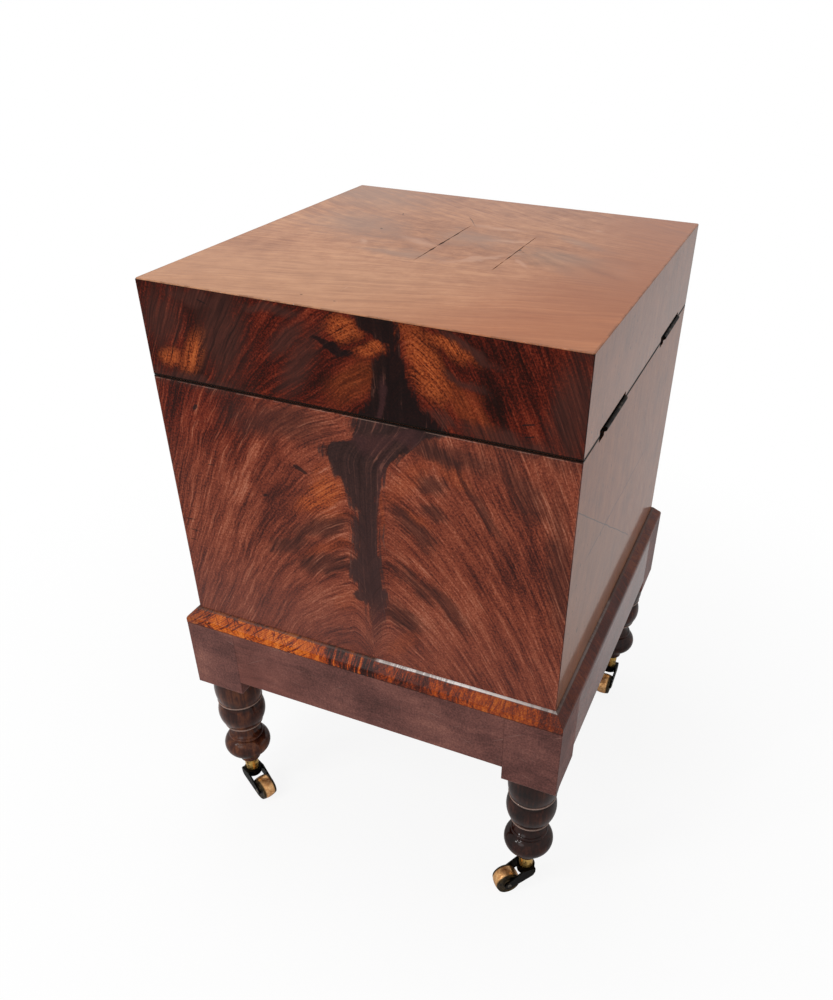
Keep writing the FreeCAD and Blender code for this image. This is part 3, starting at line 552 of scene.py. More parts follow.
    # fine hairs, threads, scars and pores
    hairs = finish.step(lines, 0.58, 0.72) * finish.step(clouds, 0.40, 0.58) * (1.0 - plume)
    hairs = hairs * (1.0 - in_lid * 0.8)
    colour = finish.mix(hairs * 0.45, colour, (0.420, 0.175, 0.105))
    threads = finish.step(upright, 0.57, 0.68) * near * finish.step(shiver, -0.08, 0.10)
    colour = finish.mix(threads * 0.66, colour, (0.215, 0.082, 0.056))
    colour = finish.mix(scars * 0.85, colour, (0.012, 0.006, 0.006))
    pores = finish.noise(finish.vector(arches * 34.0, run * 16.0, seed), 1.0, 3.0, 0.7)
    pored = finish.step(pores + grit * 0.5, 0.58, 0.72) * 0.65 * figured
    colour = finish.mix(pored, colour, (0.016, 0.006, 0.004))
    colour = finish.mix(plain, colour, back_veneer(finish, x, z, face, wander, shiver, blotch, grit))
    colour, seam_shade = edge_wear_shade_and_highlight(finish, colour, x, y, z, figured, blotch, grit)
    coat = plain * (0.38 + in_lid * 0.21) + 0.07 - in_lid * 0.04
    plug(finish.tree, coat * (1.0 - seam_shade), finish.shader.inputs["Coat Weight"])
    normal = finish.bump(streaks + lines * 0.5 + grit + shiver * 2.0, 0.05, 0.001)
    return finish.finish(colour, 0.38 + (fibres - 0.5) * 0.15, normal, **POLISH)


def plain_wood(name, dark, light, slots=False):
    """Straight mahogany with upright fibres, with painted shade inside the hinges' slots where it has them.
    """
    finish = Finish(name)
    x, y, z = finish.parts(finish.place)
    wander = finish.noise(finish.place, 5.0, 2.0, 0.5) - 0.5
    fibres = finish.noise(finish.vector(x * 90.0, y * 90.0, z * 5.0 + wander * 1.5), 1.0, 4.0, 0.6)
    bands = finish.noise(finish.vector(x * 18.0, y * 18.0, z * 3.0), 1.0, 2.0, 0.5)
    tone = 0.5 + (fibres - 0.5) * 0.7 + (bands - 0.5) * 0.8
    colour = finish.ramp(tone, [(0.15, dark), (0.85, light)])
    if slots:
        # painted shade inside the hinges' slots
        near_seam = finish.step(abs(z - SEAM), 0.0070, 0.0078, 1.0, 0.0)
        board_slot_shade = near_seam * finish.step(abs(y), HALF_DEPTH - 0.008, HALF_DEPTH - 0.006)
        colour = finish.mix(board_slot_shade * 0.93, colour, (0.006, 0.004, 0.004))
    normal = finish.bump(fibres, 0.06, 0.001)
    return finish.finish(colour, 0.42 + (fibres - 0.5) * 0.2, normal, Specular_IOR_Level=0.3)


def scratches(finish, across, along, seed):
    """Short fine scratches in two directions."""
    rising = finish.vector(across * 900.0 + along * 260.0, along * 26.0, seed)
    one = finish.noise(rising, 1.0, 1.0, 0.5)
    falling = finish.vector(across * 700.0 - along * 420.0, across * 34.0, seed + 3.0)
    two = finish.noise(falling, 1.0, 1.0, 0.5)
    return larger(finish.step(one, 0.70, 0.80), finish.step(two, 0.71, 0.80))


def stand_colour(finish, along, seed):
    """Dull purple-brown with the grain lying along a rail or block. Returns colour, grain and marks."""
    z = finish.parts(finish.place)[2]
    wander = finish.noise(finish.place, 9.0, 3.0, 0.6) - 0.5
    grain = finish.noise(finish.vector(along * 9.0, z * 130.0 + wander * 6.0, seed), 1.0, 4.0, 0.65)
    cloud = finish.noise(finish.place, 16.0, 4.0, 0.62)
    grit = finish.noise(finish.place, 420.0, 3.0, 0.6)
    tone = 0.5 + (grain - 0.5) * 0.40 + (cloud - 0.5) * 1.10 + (grit - 0.5) * 0.85
    colour = finish.ramp(
        tone,
        [
            (0.15, (0.044, 0.018, 0.015)),
            (0.42, (0.105, 0.040, 0.034)),
            (0.62, (0.160, 0.062, 0.050)),
            (0.90, (0.270, 0.112, 0.082)),
        ],
    )
    marks = scratches(finish, z, along, seed)
    colour = finish.mix(marks * 0.55, colour, (0.300, 0.180, 0.145))
    return colour, grain, marks


def stand_veneer(name, grain_axis, coat):
    """The rails' veneer, redder towards the front and low down, and paler along its foot."""
    finish = Finish(name)
    x, y, z = finish.parts(finish.place)
    colour, grain, marks = stand_colour(finish, {"X": x, "Y": y}[grain_axis], 60.0)
    front = finish.step(y, -0.17, -0.02, 1.0, 0.0) * finish.step(z, RAIL_FOOT, MOULDING_FOOT, 0.45, 0.20)
    colour = finish.mix(front, colour, finish.mix(grain, (0.090, 0.026, 0.018), (0.280, 0.085, 0.060)))
    foot = finish.step(z, RAIL_FOOT, RAIL_FOOT + 0.0022, 1.0, 0.0)
    colour = finish.mix(foot * 0.5, colour, (0.190, 0.070, 0.045))
    normal = finish.bump(grain - marks * 0.6, 0.08, 0.001)
    return finish.finish(colour, 0.44 + (grain - 0.5) * 0.2, normal, Coat_Weight=coat, **POLISH)


def leg_mahogany(name, warmth):
    """A veneered block above and dark polished turning below, with a painted highlight along the lips of its
    rings and painted shade under them and under the block.
    """
    finish = Finish(name)
    x, y, z = finish.parts(finish.place)
    block = stand_colour(finish, x + y, 64.0)[0]
    fibres = finish.noise(finish.vector(x * 220.0, y * 220.0, z * 16.0), 1.0, 4.0, 0.62)
    cloud = finish.noise(finish.place, 45.0, 3.0, 0.6)
    tone = 0.5 + (fibres - 0.5) * 0.8 + (cloud - 0.5) * 1.0 + warmth * 0.22
    turned = finish.ramp(
        tone,
        [
            (0.25, (0.0060, 0.0020, 0.0016)),
            (0.52, (0.0210, 0.0056, 0.0036)),
            (0.72, (0.0520, 0.0140, 0.0075)),
            (0.95, (0.1300, 0.0400, 0.0150)),
        ],
    )
    # painted highlights along the lips of the rings, where their edges would catch the light
    lips = reduce(larger, (finish.step(abs(z - height), 0.0006, 0.0017, 1.0, 0.0) for height in RING_LIPS))
    drops = (height - z for height in RING_LIPS)
    # painted shade just under each lip of the rings, and under the block
    under = reduce(
        larger,
        (finish.step(drop, 0.0008, 0.0022) * finish.step(drop, 0.0030, 0.0085, 1.0, 0.0) for drop in drops),
    )
    under = larger(under, finish.step(BLOCK_FOOT - z, 0.0010, 0.0070, 1.0, 0.0))
    turned = finish.mix(under * 0.60, turned, (0.0040, 0.0022, 0.0020))
    turned = finish.mix(lips * (0.30 + fibres * 0.6), turned, (0.400, 0.270, 0.220))
    wooden_block = finish.step(z, BLOCK_FOOT - 0.0004, BLOCK_FOOT + 0.0004)
    colour = finish.mix(wooden_block, turned, block)
    rim = finish.step(z, BLOCK_FOOT, BLOCK_FOOT + 0.0016, 1.0, 0.0) * wooden_block
    colour = finish.mix(rim * 0.55, colour, (0.260, 0.150, 0.115))
    plug(finish.tree, 0.30 - wooden_block * 0.20, finish.shader.inputs["Coat Weight"])
    normal = finish.bump(fibres, 0.04, 0.001)
    roughness = 0.30 + wooden_block * 0.14
    return finish.finish(colour, roughness, normal, Coat_Roughness=0.06, Specular_IOR_Level=0.04)


def crossband_veneer(name, band_axis, dullness, coat):
    """Veneer laid with its grain across the moulding, so its streaks are short and follow one another."""
    finish = Finish(name)
    x, y, z = finish.parts(finish.place)
    along = {"X": x, "Y": y}[band_axis]
    wander = finish.noise(finish.place, 22.0, 3.0, 0.6) - 0.5
    lean = finish.noise(finish.vector(along * 14.0, 0.0, 71.0), 1.0, 1.0, 0.5) - 0.5
    slant = along + (z - MOULDING_FOOT) * lean * 2.4
    streaks = finish.noise(finish.vector(slant * 260.0 + wander * 2.5, z * 60.0, 70.0), 1.0, 5.0, 0.72)
    bands = finish.noise(finish.vector(slant * 40.0 + wander, z * 16.0, 72.0), 1.0, 3.0, 0.60)
    leaves = finish.noise(finish.vector(along * 9.0, 0.0, 73.0), 1.0, 2.0, 0.5)
    grit = finish.noise(finish.place, 700.0, 3.0, 0.65)
    # a streaky dark patch in the middle, and crackled polish, most on the front half
    patch = finish.step(abs(along + 0.012 + wander * 0.03), 0.016, 0.042, 1.0, 0.0)
    old_end = finish.step(along, -0.08, -0.05, 1.0, 0.0)
    rising = finish.noise(finish.vector((along - z * 1.5) * 110.0, (along + z) * 9.0, 74.0), 1.0, 1.0, 0.5)
    falling = finish.noise(finish.vector((along + z * 1.2) * 90.0, (along - z) * 9.0, 75.0), 1.0, 1.0, 0.5)
    nearest = smaller(abs(rising - 0.5), abs(falling - 0.46))
    cracked = finish.step(nearest, 0.008, 0.030, 1.0, 0.0) * (old_end * 0.75 + 0.25)
    tone = 0.49 + (streaks - 0.5) * (1.1 - old_end * 0.35) + (bands - 0.5) * 0.8 + (leaves - 0.5) * 0.7
    tone = tone + (grit - 0.5) * 0.6 + old_end * 0.17 - 0.04
    stripes = finish.noise(finish.vector(slant * 210.0, z * 16.0, 76.0), 1.0, 2.0, 0.6)
    tone = tone + patch * ((stripes - 0.5) * 2.2 - 0.22) - cracked * 0.26
    colour = finish.ramp(
        tone,
        [
            (0.16, (0.022, 0.006, 0.004)),
            (0.36, (0.115, 0.019, 0.009)),
            (0.52, (0.350, 0.052, 0.006)),
            (0.70, (0.600, 0.142, 0.015)),
            (1.00, (0.760, 0.285, 0.075)),
        ],
    )
    plain = finish.ramp(
        0.5 + (streaks - 0.5) * 0.5 + wander * 0.9 + (grit - 0.5) * 0.4,
        [(0.25, (0.040, 0.014, 0.012)), (0.60, (0.085, 0.030, 0.024)), (0.85, (0.165, 0.050, 0.036))],
    )
    faded = larger(finish.step(abs(along), 0.195, 0.232) * 0.60, finish.step(along, 0.06, 0.18) * 0.34)
    colour = finish.mix(larger(faded, dullness), colour, plain)
    # the upper edge, darker, and the joint with the rail below
    height = z + wander * 0.0012
    crown = finish.step(height, MOULDING_TOP - 0.0027, MOULDING_TOP - 0.0013)
    colour = finish.mix(
        crown * 0.72, colour, finish.mix(grit, (0.030, 0.016, 0.013), (0.130, 0.075, 0.058))
    )
    joint = finish.step(height, MOULDING_FOOT + 0.0006, MOULDING_FOOT + 0.0016, 1.0, 0.0)
    colour = finish.mix(joint * 0.75, colour, (0.014, 0.007, 0.006))
    # a painted highlight along the upper edge, where its rounded crest would catch the light
    top_edge = finish.step(height, MOULDING_TOP - 0.0019, MOULDING_TOP - 0.0011)
    highlight_break = finish.step(leaves * 0.4 + streaks * 0.6, 0.40, 0.54, 0.40, 1.0)
    highlight_span = finish.step(along, 0.010, 0.024) * finish.step(along, 0.08, 0.23, 1.0, 0.40) * (1.0 - dullness)
    colour = finish.mix(top_edge * highlight_span * highlight_break, colour, (0.88, 0.83, 0.80))
    normal = finish.bump(streaks + grit * 0.6 - cracked, 0.12, 0.001)
    waxed = {**POLISH, "Coat_Roughness": 0.24}
    return finish.finish(colour, 0.34 + (streaks - 0.5) * 0.2, normal, Coat_Weight=coat, **waxed)


# The figure of the top veneer, in tenths of a metre to the back and to the right of its middle
TOP_MIDDLE = ((0.1, -0.25, 1.7, 0.85, 0),)
TOP_FEATHER = ((1.40, 0.00, 0.85, 0.40, 18),)
TOP_PALE = (
    (0.22, -0.98, 0.30, 0.07, 0),
    (0.44, 0.24, 0.38, 0.07, -50),
    (1.26, -1.36, 0.06, 0.05, 0),
    (-0.36, -0.06, 0.28, 0.08, 30),
    (0.55, -0.55, 0.25, 0.06, -20),
    (1.95, 0.10, 0.26, 0.12, 60),
    (-0.95, 0.15, 0.10, 0.04, 70),
    (0.90, 0.22, 0.12, 0.03, 55),
    (-0.30, 1.68, 0.06, 0.008, 75),
)
TOP_GREY = (
    (1.40, -0.14, 0.62, 0.20, 16),
    (-0.35, 0.42, 0.45, 0.16, 0),
    (-1.30, -0.45, 0.70, 0.50, 30),
    (-1.85, -1.80, 1.00, 0.60, 30),
    (1.75, 0.45, 0.50, 0.14, 20),
    (0.10, -0.45, 0.40, 0.30, 0),
    (1.25, -0.75, 0.40, 0.10, 30),
)
TOP_DARK = (
    (-0.977, -0.373, 0.030, 0.014, 60),
    (0.71, -0.24, 0.035, 0.018, 100),
    (0.76, -0.19, 0.022, 0.012, 20),
    (-0.22, 2.03, 0.016, 0.012, 0),
    (-0.58, 2.00, 0.012, 0.010, 0),
    (-1.05, -1.08, 0.050, 0.006, 68),
    (-0.20, -1.15, 0.22, 0.006, 58),
)


def top_veneer():
    """Sun-faded crotch veneer of the lid's top, with a feather at the back and dark splits."""
    finish = Finish("top_veneer")
    x, y, z = finish.parts(finish.place)
    a = y * TENTHS
    b = x * TENTHS
    wander = finish.noise(finish.vector(a, b, 31.0), 0.7, 2.0, 0.5) - 0.5
    shiver = finish.noise(finish.vector(a, b, 35.0), 3.2, 3.0, 0.6) - 0.5
    slope = finish.step(b + wander * 0.4, -1.7, 1.3, -0.55, 0.30)
    mottle = finish.noise(finish.vector(a, b, 36.0), 4.5, 5.0, 0.66)
    middle = finish.spots(finish.vector(a, b), TOP_MIDDLE, (mottle - 0.5) * 0.6, 0.1, 1.2)
    across = b + (a + 1.4) * slope + wander * 0.30 + shiver * (0.04 + middle * 0.45)
    streaks = finish.noise(finish.vector(across * 15.0, a * 0.9 + b * 0.2, 30.0), 1.0, 5.0, 0.66)
    bands = finish.noise(finish.vector(across * 4.2, a * 0.8, 32.0), 1.0, 4.0, 0.62)
    clouds = finish.noise(finish.vector(a, b, 33.0), 0.9, 2.0, 0.5)
    # the feather, whose fibres spread from one point
    from_a = a - 0.45
    from_b = b + 0.55
    angle = operate(finish.tree, "ARCTAN2", from_b, from_a)
    reach = (from_a * from_a + from_b * from_b).math("SQRT")
    barbs = finish.noise(finish.vector(angle * 9.0 + shiver, reach * 0.8, 37.0), 1.0, 3.0, 0.6)
    feather = finish.spots(finish.vector(a, b), TOP_FEATHER, (mottle - 0.5) * 0.8, 0.3, 1.1)
    rag = (streaks - 0.5) * 2.2 + (mottle - 0.5) * 2.4
    spot_place = finish.vector(a + shiver * 0.35, b + shiver * 0.25)
    pale = finish.spots(spot_place, TOP_PALE, rag, 0.1, 1.5)
    grey = finish.spots(spot_place, TOP_GREY, rag * 0.6, 0.1, 1.5)
    flecks = finish.spots(finish.vector(a + shiver * 0.03, b), TOP_DARK, (mottle - 0.5) * 2.0, 0.3, 1.3)
    fibres = streaks * (1.0 - feather) + barbs * feather
    strength = 0.66 - middle * 0.28
    threads = finish.noise(finish.vector(across * 62.0, a * 2.2, 40.0), 1.0, 3.0, 0.65)
    tone = 0.5 + (fibres - 0.5) * strength + (threads - 0.5) * 0.60 + (bands - 0.5) * 0.36
    tone = tone + (mottle - 0.5) * 0.60 + (clouds - 0.5) * 0.3
    tone = tone - middle * 0.15 - finish.step(b, -1.9, -0.4, 0.09, 0.0)
    colour = finish.ramp(
        tone, [(0.20, (0.225, 0.086, 0.044)), (0.50, (0.390, 0.176, 0.092)), (0.80, (0.550, 0.285, 0.155))]
    )
    colour = finish.mix(
        grey * 0.62, colour, finish.mix(fibres, (0.190, 0.110, 0.080), (0.370, 0.225, 0.160))
    )
    colour = finish.mix(
        feather * 0.45, colour, finish.mix(barbs, (0.110, 0.070, 0.048), (0.380, 0.240, 0.165))
    )
    colour = finish.mix(pale * 0.42, colour, (0.560, 0.325, 0.220))
    red = finish.step(a + b * 0.8, 0.6, 3.2) * (0.55 + clouds * 0.4)
    colour = finish.mix(red, colour, finish.mix(fibres, (0.210, 0.062, 0.028), (0.510, 0.192, 0.084)))
    brown = finish.step(a + wander, 0.8, 2.1) * (0.55 + clouds * 0.4) * finish.step(b, 0.7, 1.9, 1.0, 0.25)
    colour = finish.mix(brown, colour, finish.mix(fibres, (0.185, 0.056, 0.026), (0.400, 0.152, 0.072)))
    tan = finish.step(b, 0.4, 1.6) * finish.step(a, 1.6, -0.6) * 0.45
    colour = finish.mix(tan, colour, finish.mix(fibres, (0.330, 0.160, 0.085), (0.580, 0.310, 0.175)))
    pores = finish.noise(finish.vector(across * 80.0, a * 6.0, 39.0), 1.0, 2.0, 0.5)
    colour = finish.mix(finish.step(pores, 0.60, 0.74) * 0.34, colour, (0.20, 0.08, 0.045))
    colour = finish.mix(flecks * 0.80, colour, (0.05, 0.025, 0.018))
    # rubbed edge, and painted shade inside the splits
    rim = smaller(HALF_WIDTH - abs(x), HALF_DEPTH - abs(y))
    rubbed = finish.step(rim + (mottle - 0.5) * 0.002, 0.0008, 0.0030, 1.0, 0.0)
    colour = finish.mix(rubbed * finish.step(mottle, 0.44, 0.56) * 0.55, colour, (0.140, 0.060, 0.034))
    # painted shade inside the splits
    inside = finish.step(z, LID_TOP - 0.00030, LID_TOP - 0.00005, 1.0, 0.0) * finish.step(rim, 0.004, 0.006)
    colour = finish.mix(inside * 0.95, colour, (0.020, 0.010, 0.008))
    normal = finish.bump(fibres + mottle * 0.6 + pores * 0.3, 0.05, 0.001)
    return finish.finish(colour, 0.36 + (fibres - 0.5) * 0.15, normal, Coat_Weight=0.11, **POLISH)


# Metal --------------------------------------------------------------------------------------------


def metal(name, bright, dark, roughness, cover=0.5):
    """Old metal: bright where it is rubbed and dark with patina elsewhere."""
    finish = Finish(name)
    patina = finish.noise(finish.place, 140.0, 5.0, 0.6)
    spots = finish.noise(finish.place, 600.0, 3.0, 0.6)
    mask = finish.step(patina + (spots - 0.5) * 0.3, cover - 0.12, cover + 0.12)
    colour = finish.mix(mask, bright, dark)
    normal = finish.bump(patina + spots * 0.5, 0.12, 0.0005)
    return finish.finish(colour, roughness + mask * 0.2, normal, Metallic=1.0)


def wheel_brass(corner):
    """Brass that the floor keeps bright on the tread and that is nearly black on the sides, partly from
    patina and partly as a painted dark reflection.
    """
    joint = next(joint for joint in frame["joints"] if joint["name"] == "roll_" + corner)
    finish = Finish("castor_tread_" + corner)
    from_hub = finish.measure("SUBTRACT", finish.place, joint["pos_m"])
    radius = finish.measure("LENGTH", finish.measure("CROSS_PRODUCT", from_hub, joint["axis"]))
    tread = finish.step(radius, WHEEL_RADIUS - 0.0010, WHEEL_RADIUS - 0.0004)
    patina = finish.noise(finish.place, 190.0, 5.0, 0.65)
    spots = finish.noise(finish.place, 900.0, 3.0, 0.6)
    rubbed = finish.ramp(
        patina + (spots - 0.5) * 0.4,
        [(0.30, (0.900, 0.560, 0.270)), (0.52, (0.720, 0.380, 0.150)), (0.76, (0.320, 0.130, 0.050))],
    )
    # the sides: patina, darkened further as a painted reflection of the shaded ground under the stand
    patina_and_dark_reflection = finish.ramp(patina, [(0.40, (0.012, 0.009, 0.006)), (0.70, (0.090, 0.060, 0.025))])
    colour = finish.mix(tread, patina_and_dark_reflection, rubbed)
    normal = finish.bump(patina + spots, 0.20, 0.0005)
    return finish.finish(colour, 0.50 - tread * 0.14, normal, Metallic=0.9)


def named(start="", end=""):
    """The frame's pieces whose names start and end like this."""
    return [name for name in frame["nodes"] if name.startswith(start) and name.endswith(end)]


def paint(names, material):
    """Gives pieces of the frame a material."""
    for name in names:
        slots = frame["nodes"][name].data.materials
        slots.clear()
        slots.append(material)


def dress_nodes():
    """Gives every piece that the frame brings its finish."""
    paint(named(end="side_veneers"), FINISHES["flame_veneer"])
    paint(["lid_top_veneer"], FINISHES["top_veneer"])
    carcase = plain_wood("carcase_mahogany", (0.11, 0.035, 0.02), (0.26, 0.10, 0.055), slots=True)
    paint(named(end="_board"), carcase)
    division = plain_wood("division_mahogany", (0.15, 0.06, 0.035), (0.30, 0.13, 0.07))
    paint(named("bottle_division"), division)
    paint(["case_liner"], metal("zinc_sheet", (0.42, 0.44, 0.45), (0.20, 0.21, 0.22), 0.45))
    for side, kind in STAND_SIDES.items():
        paint(["stand_" + side + "_rail"], FINISHES[kind + "_rail"])
        paint(["stand_" + side + "_moulding"], FINISHES[kind + "_crossband"])
    dark_leg = leg_mahogany("leg_mahogany", 0.0)
    warm_leg = leg_mahogany("leg_mahogany_warm", 1.0)
    socket_brass = metal("castor_collar_brass", (0.640, 0.400, 0.110), (0.100, 0.055, 0.020), 0.30, 0.58)
    # the fork's dark colour is partly patina and partly a painted dark reflection of the shaded ground under
    # the stand
    fork_brass = metal("castor_fork_brass", (0.360, 0.210, 0.070), (0.006, 0.005, 0.004), 0.34, 0.24)
    for corner in CORNERS:
        paint(["leg_" + corner], warm_leg if corner == "front_right" else dark_leg)
        paint(["castor_socket_" + corner], socket_brass)
        paint(["castor_fork_" + corner], fork_brass)
        paint(["castor_wheel_" + corner], wheel_brass(corner))
    axle = metal("axle_iron", (0.20, 0.18, 0.15), (0.05, 0.04, 0.035), 0.45)
    paint(named("castor_axle"), axle)
    hinge = metal("hinge_brass", (0.050, 0.034, 0.020), (0.008, 0.006, 0.005), 0.45, 0.40)
    paint(named("hinge_"), hinge)
    screws = metal("screw_iron", (0.22, 0.20, 0.18), (0.06, 0.05, 0.045), 0.4)
    paint(named(end="_screws"), screws)
    plate = metal("escutcheon_brass", (0.62, 0.44, 0.17), (0.25, 0.16, 0.06), 0.28, 0.62)
    paint(["keyhole_escutcheon"], plate)
    lock = metal("lock_brass", (0.50, 0.37, 0.16), (0.20, 0.14, 0.06), 0.35)
    paint(["lock_case", "lock_bolt", "lock_link_plate"], lock)


# Pieces that stand for the frame's own ------------------------------------------------------------


def new_object(name, data):
    """An object in the scene that holds a mesh, a lamp or a camera."""
    holder = bpy.data.objects.new(name, data)
    bpy.context.scene.collection.objects.link(holder)
    return holder


def new_mesh(name, shape):
    """A mesh of the shape, which is used up."""
    mesh = bpy.data.meshes.new(name)
    shape.to_mesh(mesh)
    shape.free()
    return mesh


def merged_copy(node, name):
    """A node's shape as a new piece, with its loose triangles joined and its flat faces whole again."""
    shape = bmesh.new()
    shape.from_mesh(frame["nodes"][node].data)
    bmesh.ops.remove_doubles(shape, verts=shape.verts, dist=MERGE_DISTANCE)
    bmesh.ops.dissolve_limit(
        shape, angle_limit=FLAT_ANGLE, verts=shape.verts, edges=shape.edges, use_dissolve_boundaries=False
    )
    mesh = new_mesh(name, shape)
    if "custom_normal" in mesh.attributes:
        mesh.attributes.remove(mesh.attributes["custom_normal"])
    return new_object(name, mesh)


def smooth(piece):
    """Shades the piece smooth, with its real edges crisp."""
    for polygon in piece.data.polygons:
        polygon.use_smooth = True
    piece.data.set_sharp_from_angle(angle=CRISP_ANGLE)


def soften(piece, width):
    """Rounds the sharp edges as sanding and years of polish do."""
    smooth(piece)
    bevel = piece.modifiers.new("rubbed edges", "BEVEL")
    bevel.width = width
    bevel.segments = 2
    bevel.limit_method = "ANGLE"
    bevel.angle_limit = RUBBED_ANGLE
    bevel.harden_normals = True


def settle(piece, node, body, material):
    """Finishes a piece and puts it in a node's place."""
    piece.data.materials.clear()
    piece.data.materials.append(material)
    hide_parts(node)
    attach(piece, body)


def split_blade(middle, length, width, seed):
    """The ragged wedge that opens a split in the top, narrow at its ends and below."""
    shape = bmesh.new()
    bmesh.ops.create_cube(shape, size=1.0)
    long_edges = [edge for edge in shape.edges if abs(edge.verts[0].co.x - edge.verts[1].co.x) > 0.5]
    bmesh.ops.subdivide_edges(shape, edges=long_edges, cuts=BLADE_CUTS, use_grid_fill=True)
    for vertex in shape.verts:
        reach = vertex.co.x * 2.0
        open_here = (1.0 - reach * reach) ** 0.6
        ragged = 0.60 + 1.2 * noise.noise(Vector((reach * 6.0, seed, 0.0)))
        wobble = 0.00045 * noise.noise(Vector((reach * 4.0, seed + 5.0, 0.0)))
        below = 0.25 if vertex.co.z < 0.0 else 1.0
        wide = max(width * open_here * ragged, BLADE_EDGE) * below
        vertex.co = Vector((
            middle[0] + vertex.co.x * length,
            middle[1] + wobble + vertex.co.y * wide,
            LID_TOP + (BLADE_ABOVE if vertex.co.z > 0.0 else -SPLIT_DEPTH),
        ))
    bmesh.ops.recalc_face_normals(shape, faces=shape.faces)
    return new_object("split_blade", new_mesh("split_blade", shape))


def cut(piece, blade):
    """Takes the blade out of the piece for good."""
    modifier = piece.modifiers.new("cut", "BOOLEAN")
    modifier.operation = "DIFFERENCE"
    modifier.solver = "EXACT"
    modifier.object = blade
    result = bpy.data.meshes.new_from_object(piece.evaluated_get(bpy.context.evaluated_depsgraph_get()))
    piece.modifiers.clear()
    piece.data = result
    bpy.data.objects.remove(blade)


def lid_top():
    """The top veneer with its two long splits over the joints of the board below."""
    piece = merged_copy("lid_top_veneer", "lid_top_veneer_split")
    for split in SPLITS:
        cut(piece, split_blade(*split))
    smooth(piece)
    settle(piece, "lid_top_veneer", "lid", FINISHES["top_veneer"])


def rubbed_moulding(side, kind):
    """A moulding whose outer upper edge is rounded over by cloths and hands."""
    node = "stand_" + side + "_moulding"
    piece = merged_copy(node, node + "_rubbed")
    shape = bmesh.new()
    shape.from_mesh(piece.data)
    axis, inner = (1, HALF_DEPTH) if kind == "end" else (0, HALF_WIDTH)
    crest = []
    for edge in shape.edges:
        ends = [vertex.co for vertex in edge.verts]
        level = all(end.z > MOULDING_TOP - 0.00002 for end in ends)
        outside = all(abs(end[axis]) > inner + 0.0010 for end in ends)
        if level and outside and edge.calc_length() > 0.2:
            crest.append(edge)
    bmesh.ops.bevel(
        shape,
        geom=crest,
        offset=CREST_ROUNDING,
        segments=5,
        profile=0.5,
        affect="EDGES",
        material=-1,
        clamp_overlap=True,
    )
    shape.to_mesh(piece.data)
    shape.free()
    soften(piece, MOULDING_RUB)
    settle(piece, node, "box_and_stand", FINISHES[kind + "_crossband"])


def rubbed_rail(side, kind):
    """A rail whose edges are softened."""
    node = "stand_" + side + "_rail"
    piece = merged_copy(node, node + "_rubbed")
    soften(piece, RAIL_RUB)
    settle(piece, node, "box_and_stand", FINISHES[kind + "_rail"])


# Studio -------------------------------------------------------------------------------------------


def lamp(name, place, aim, width, height, watts):
    """An elliptic lamp that points at a place."""
    data = bpy.data.lights.new(name, "AREA")
    data.shape = "ELLIPSE"
    data.size = width
    data.size_y = height
    data.energy = watts
    holder = new_object(name, data)
    holder.location = place
    direction = Vector(aim) - Vector(place)
    holder.rotation_euler = direction.to_track_quat("-Z", "Y").to_euler()


def surroundings():
    """A world that shows white and lights a little less, and the lamps."""
    scene = bpy.context.scene
    scene.view_settings.view_transform = "Standard"
    world = bpy.data.worlds.new("studio")
    scene.world = world
    world.use_nodes = True
    tree = world.node_tree
    background = tree.nodes["Background"]
    background.inputs["Color"].default_value = (1.0, 1.0, 1.0, 1.0)
    path = tree.nodes.new("ShaderNodeLightPath")
    rays = ("Is Camera Ray", "Is Glossy Ray", "Is Transmission Ray")
    seen = reduce(larger, (Signal(tree, path.outputs[ray]) for ray in rays))
    plug(tree, seen * (1.0 - WORLD_LIGHT) + WORLD_LIGHT, background.inputs["Strength"])
    for name, values in LAMPS.items():
        lamp(name, *values)


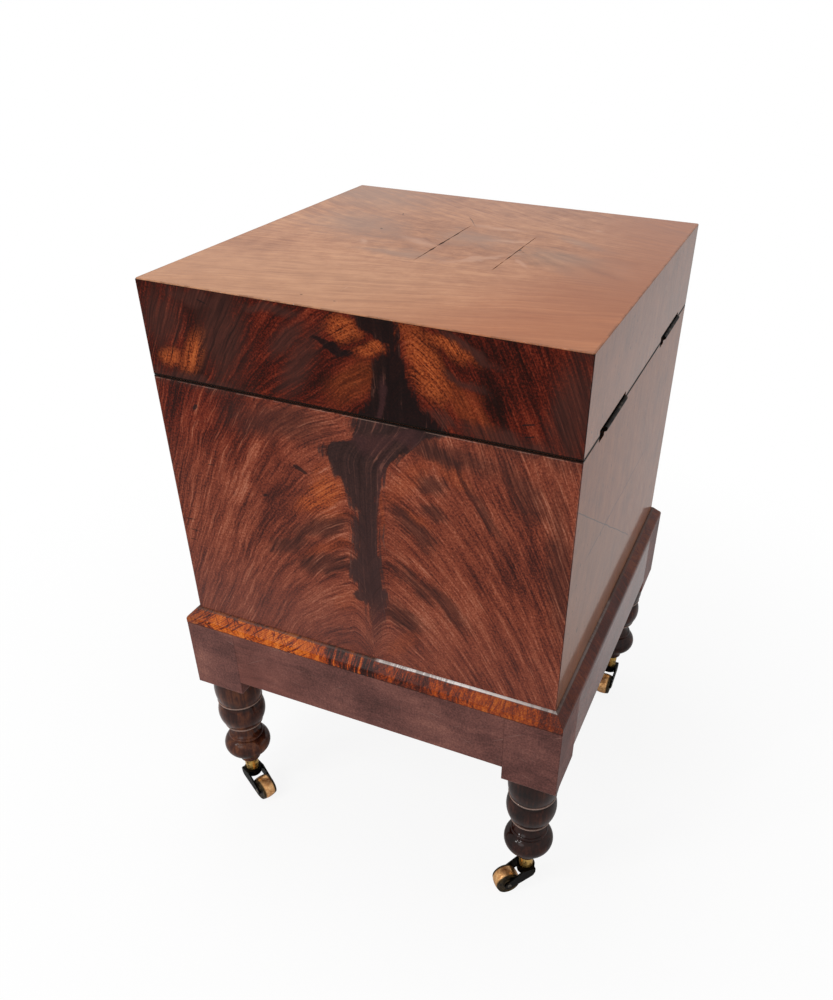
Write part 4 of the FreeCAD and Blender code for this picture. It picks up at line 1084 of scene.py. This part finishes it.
def floor():
    """A pale floor that keeps the object's shadow and turns into the white around it."""
    finish = Finish("floor")
    finish.tree.nodes.remove(finish.shader)
    grey = finish.add("ShaderNodeBsdfDiffuse", sockets={"Color": (FLOOR_GREY, FLOOR_GREY, FLOOR_GREY, 1.0)})
    white = finish.add("ShaderNodeEmission", sockets={"Color": (1.0, 1.0, 1.0, 1.0)})
    seen = finish.add("ShaderNodeLightPath", output="Is Camera Ray")
    distance = finish.measure("LENGTH", finish.place)
    share = seen * finish.step(distance, WHITE_FROM, WHITE_FULL, WHITE_NEAR, 1.0)
    both = finish.add("ShaderNodeMixShader", sockets={0: share, 1: grey, 2: white})
    plug(finish.tree, both, finish.tree.nodes["Material Output"].inputs["Surface"])
    shape = bmesh.new()
    bmesh.ops.create_circle(shape, cap_ends=True, radius=FLOOR_RADIUS, segments=64)
    mesh = new_mesh("floor", shape)
    mesh.materials.append(finish.material)
    new_object("floor", mesh)


def camera():
    """The camera, level before its roll."""
    aim = Vector(CAMERA_AIM).normalized()
    level = aim.cross(Vector((0, 0, 1))).normalized()
    rise = level.cross(aim)
    right = level * math.cos(CAMERA_ROLL) + rise * math.sin(CAMERA_ROLL)
    up = right.cross(aim)
    data = bpy.data.cameras.new("camera")
    data.sensor_width = 36.0
    data.lens = LENS
    data.shift_x, data.shift_y = SHIFT
    data.clip_end = 60.0
    holder = new_object("camera", data)
    turn = Matrix((right, up, -aim)).transposed().to_4x4()
    holder.matrix_world = Matrix.Translation(CAMERA_PLACE) @ turn
    bpy.context.scene.camera = holder


# Finishes of the veneered faces
FINISHES = {
    "flame_veneer": flame_veneer(),
    "top_veneer": top_veneer(),
    "side_rail": stand_veneer("stand_veneer_sides", "Y", 0.10),
    "end_rail": stand_veneer("stand_veneer_ends", "X", 0.50),
    "side_crossband": crossband_veneer("crossband_veneer_sides", "Y", 0.0, 0.08),
    # the end mouldings take mostly the plain, dull colour; on the back this is partly a painted dark
    # reflection
    "end_crossband": crossband_veneer("crossband_veneer_ends", "X", 0.85, 0.10),
}

dress_nodes()
lid_top()
for side, kind in STAND_SIDES.items():
    rubbed_moulding(side, kind)
    rubbed_rail(side, kind)
surroundings()
floor()
camera()
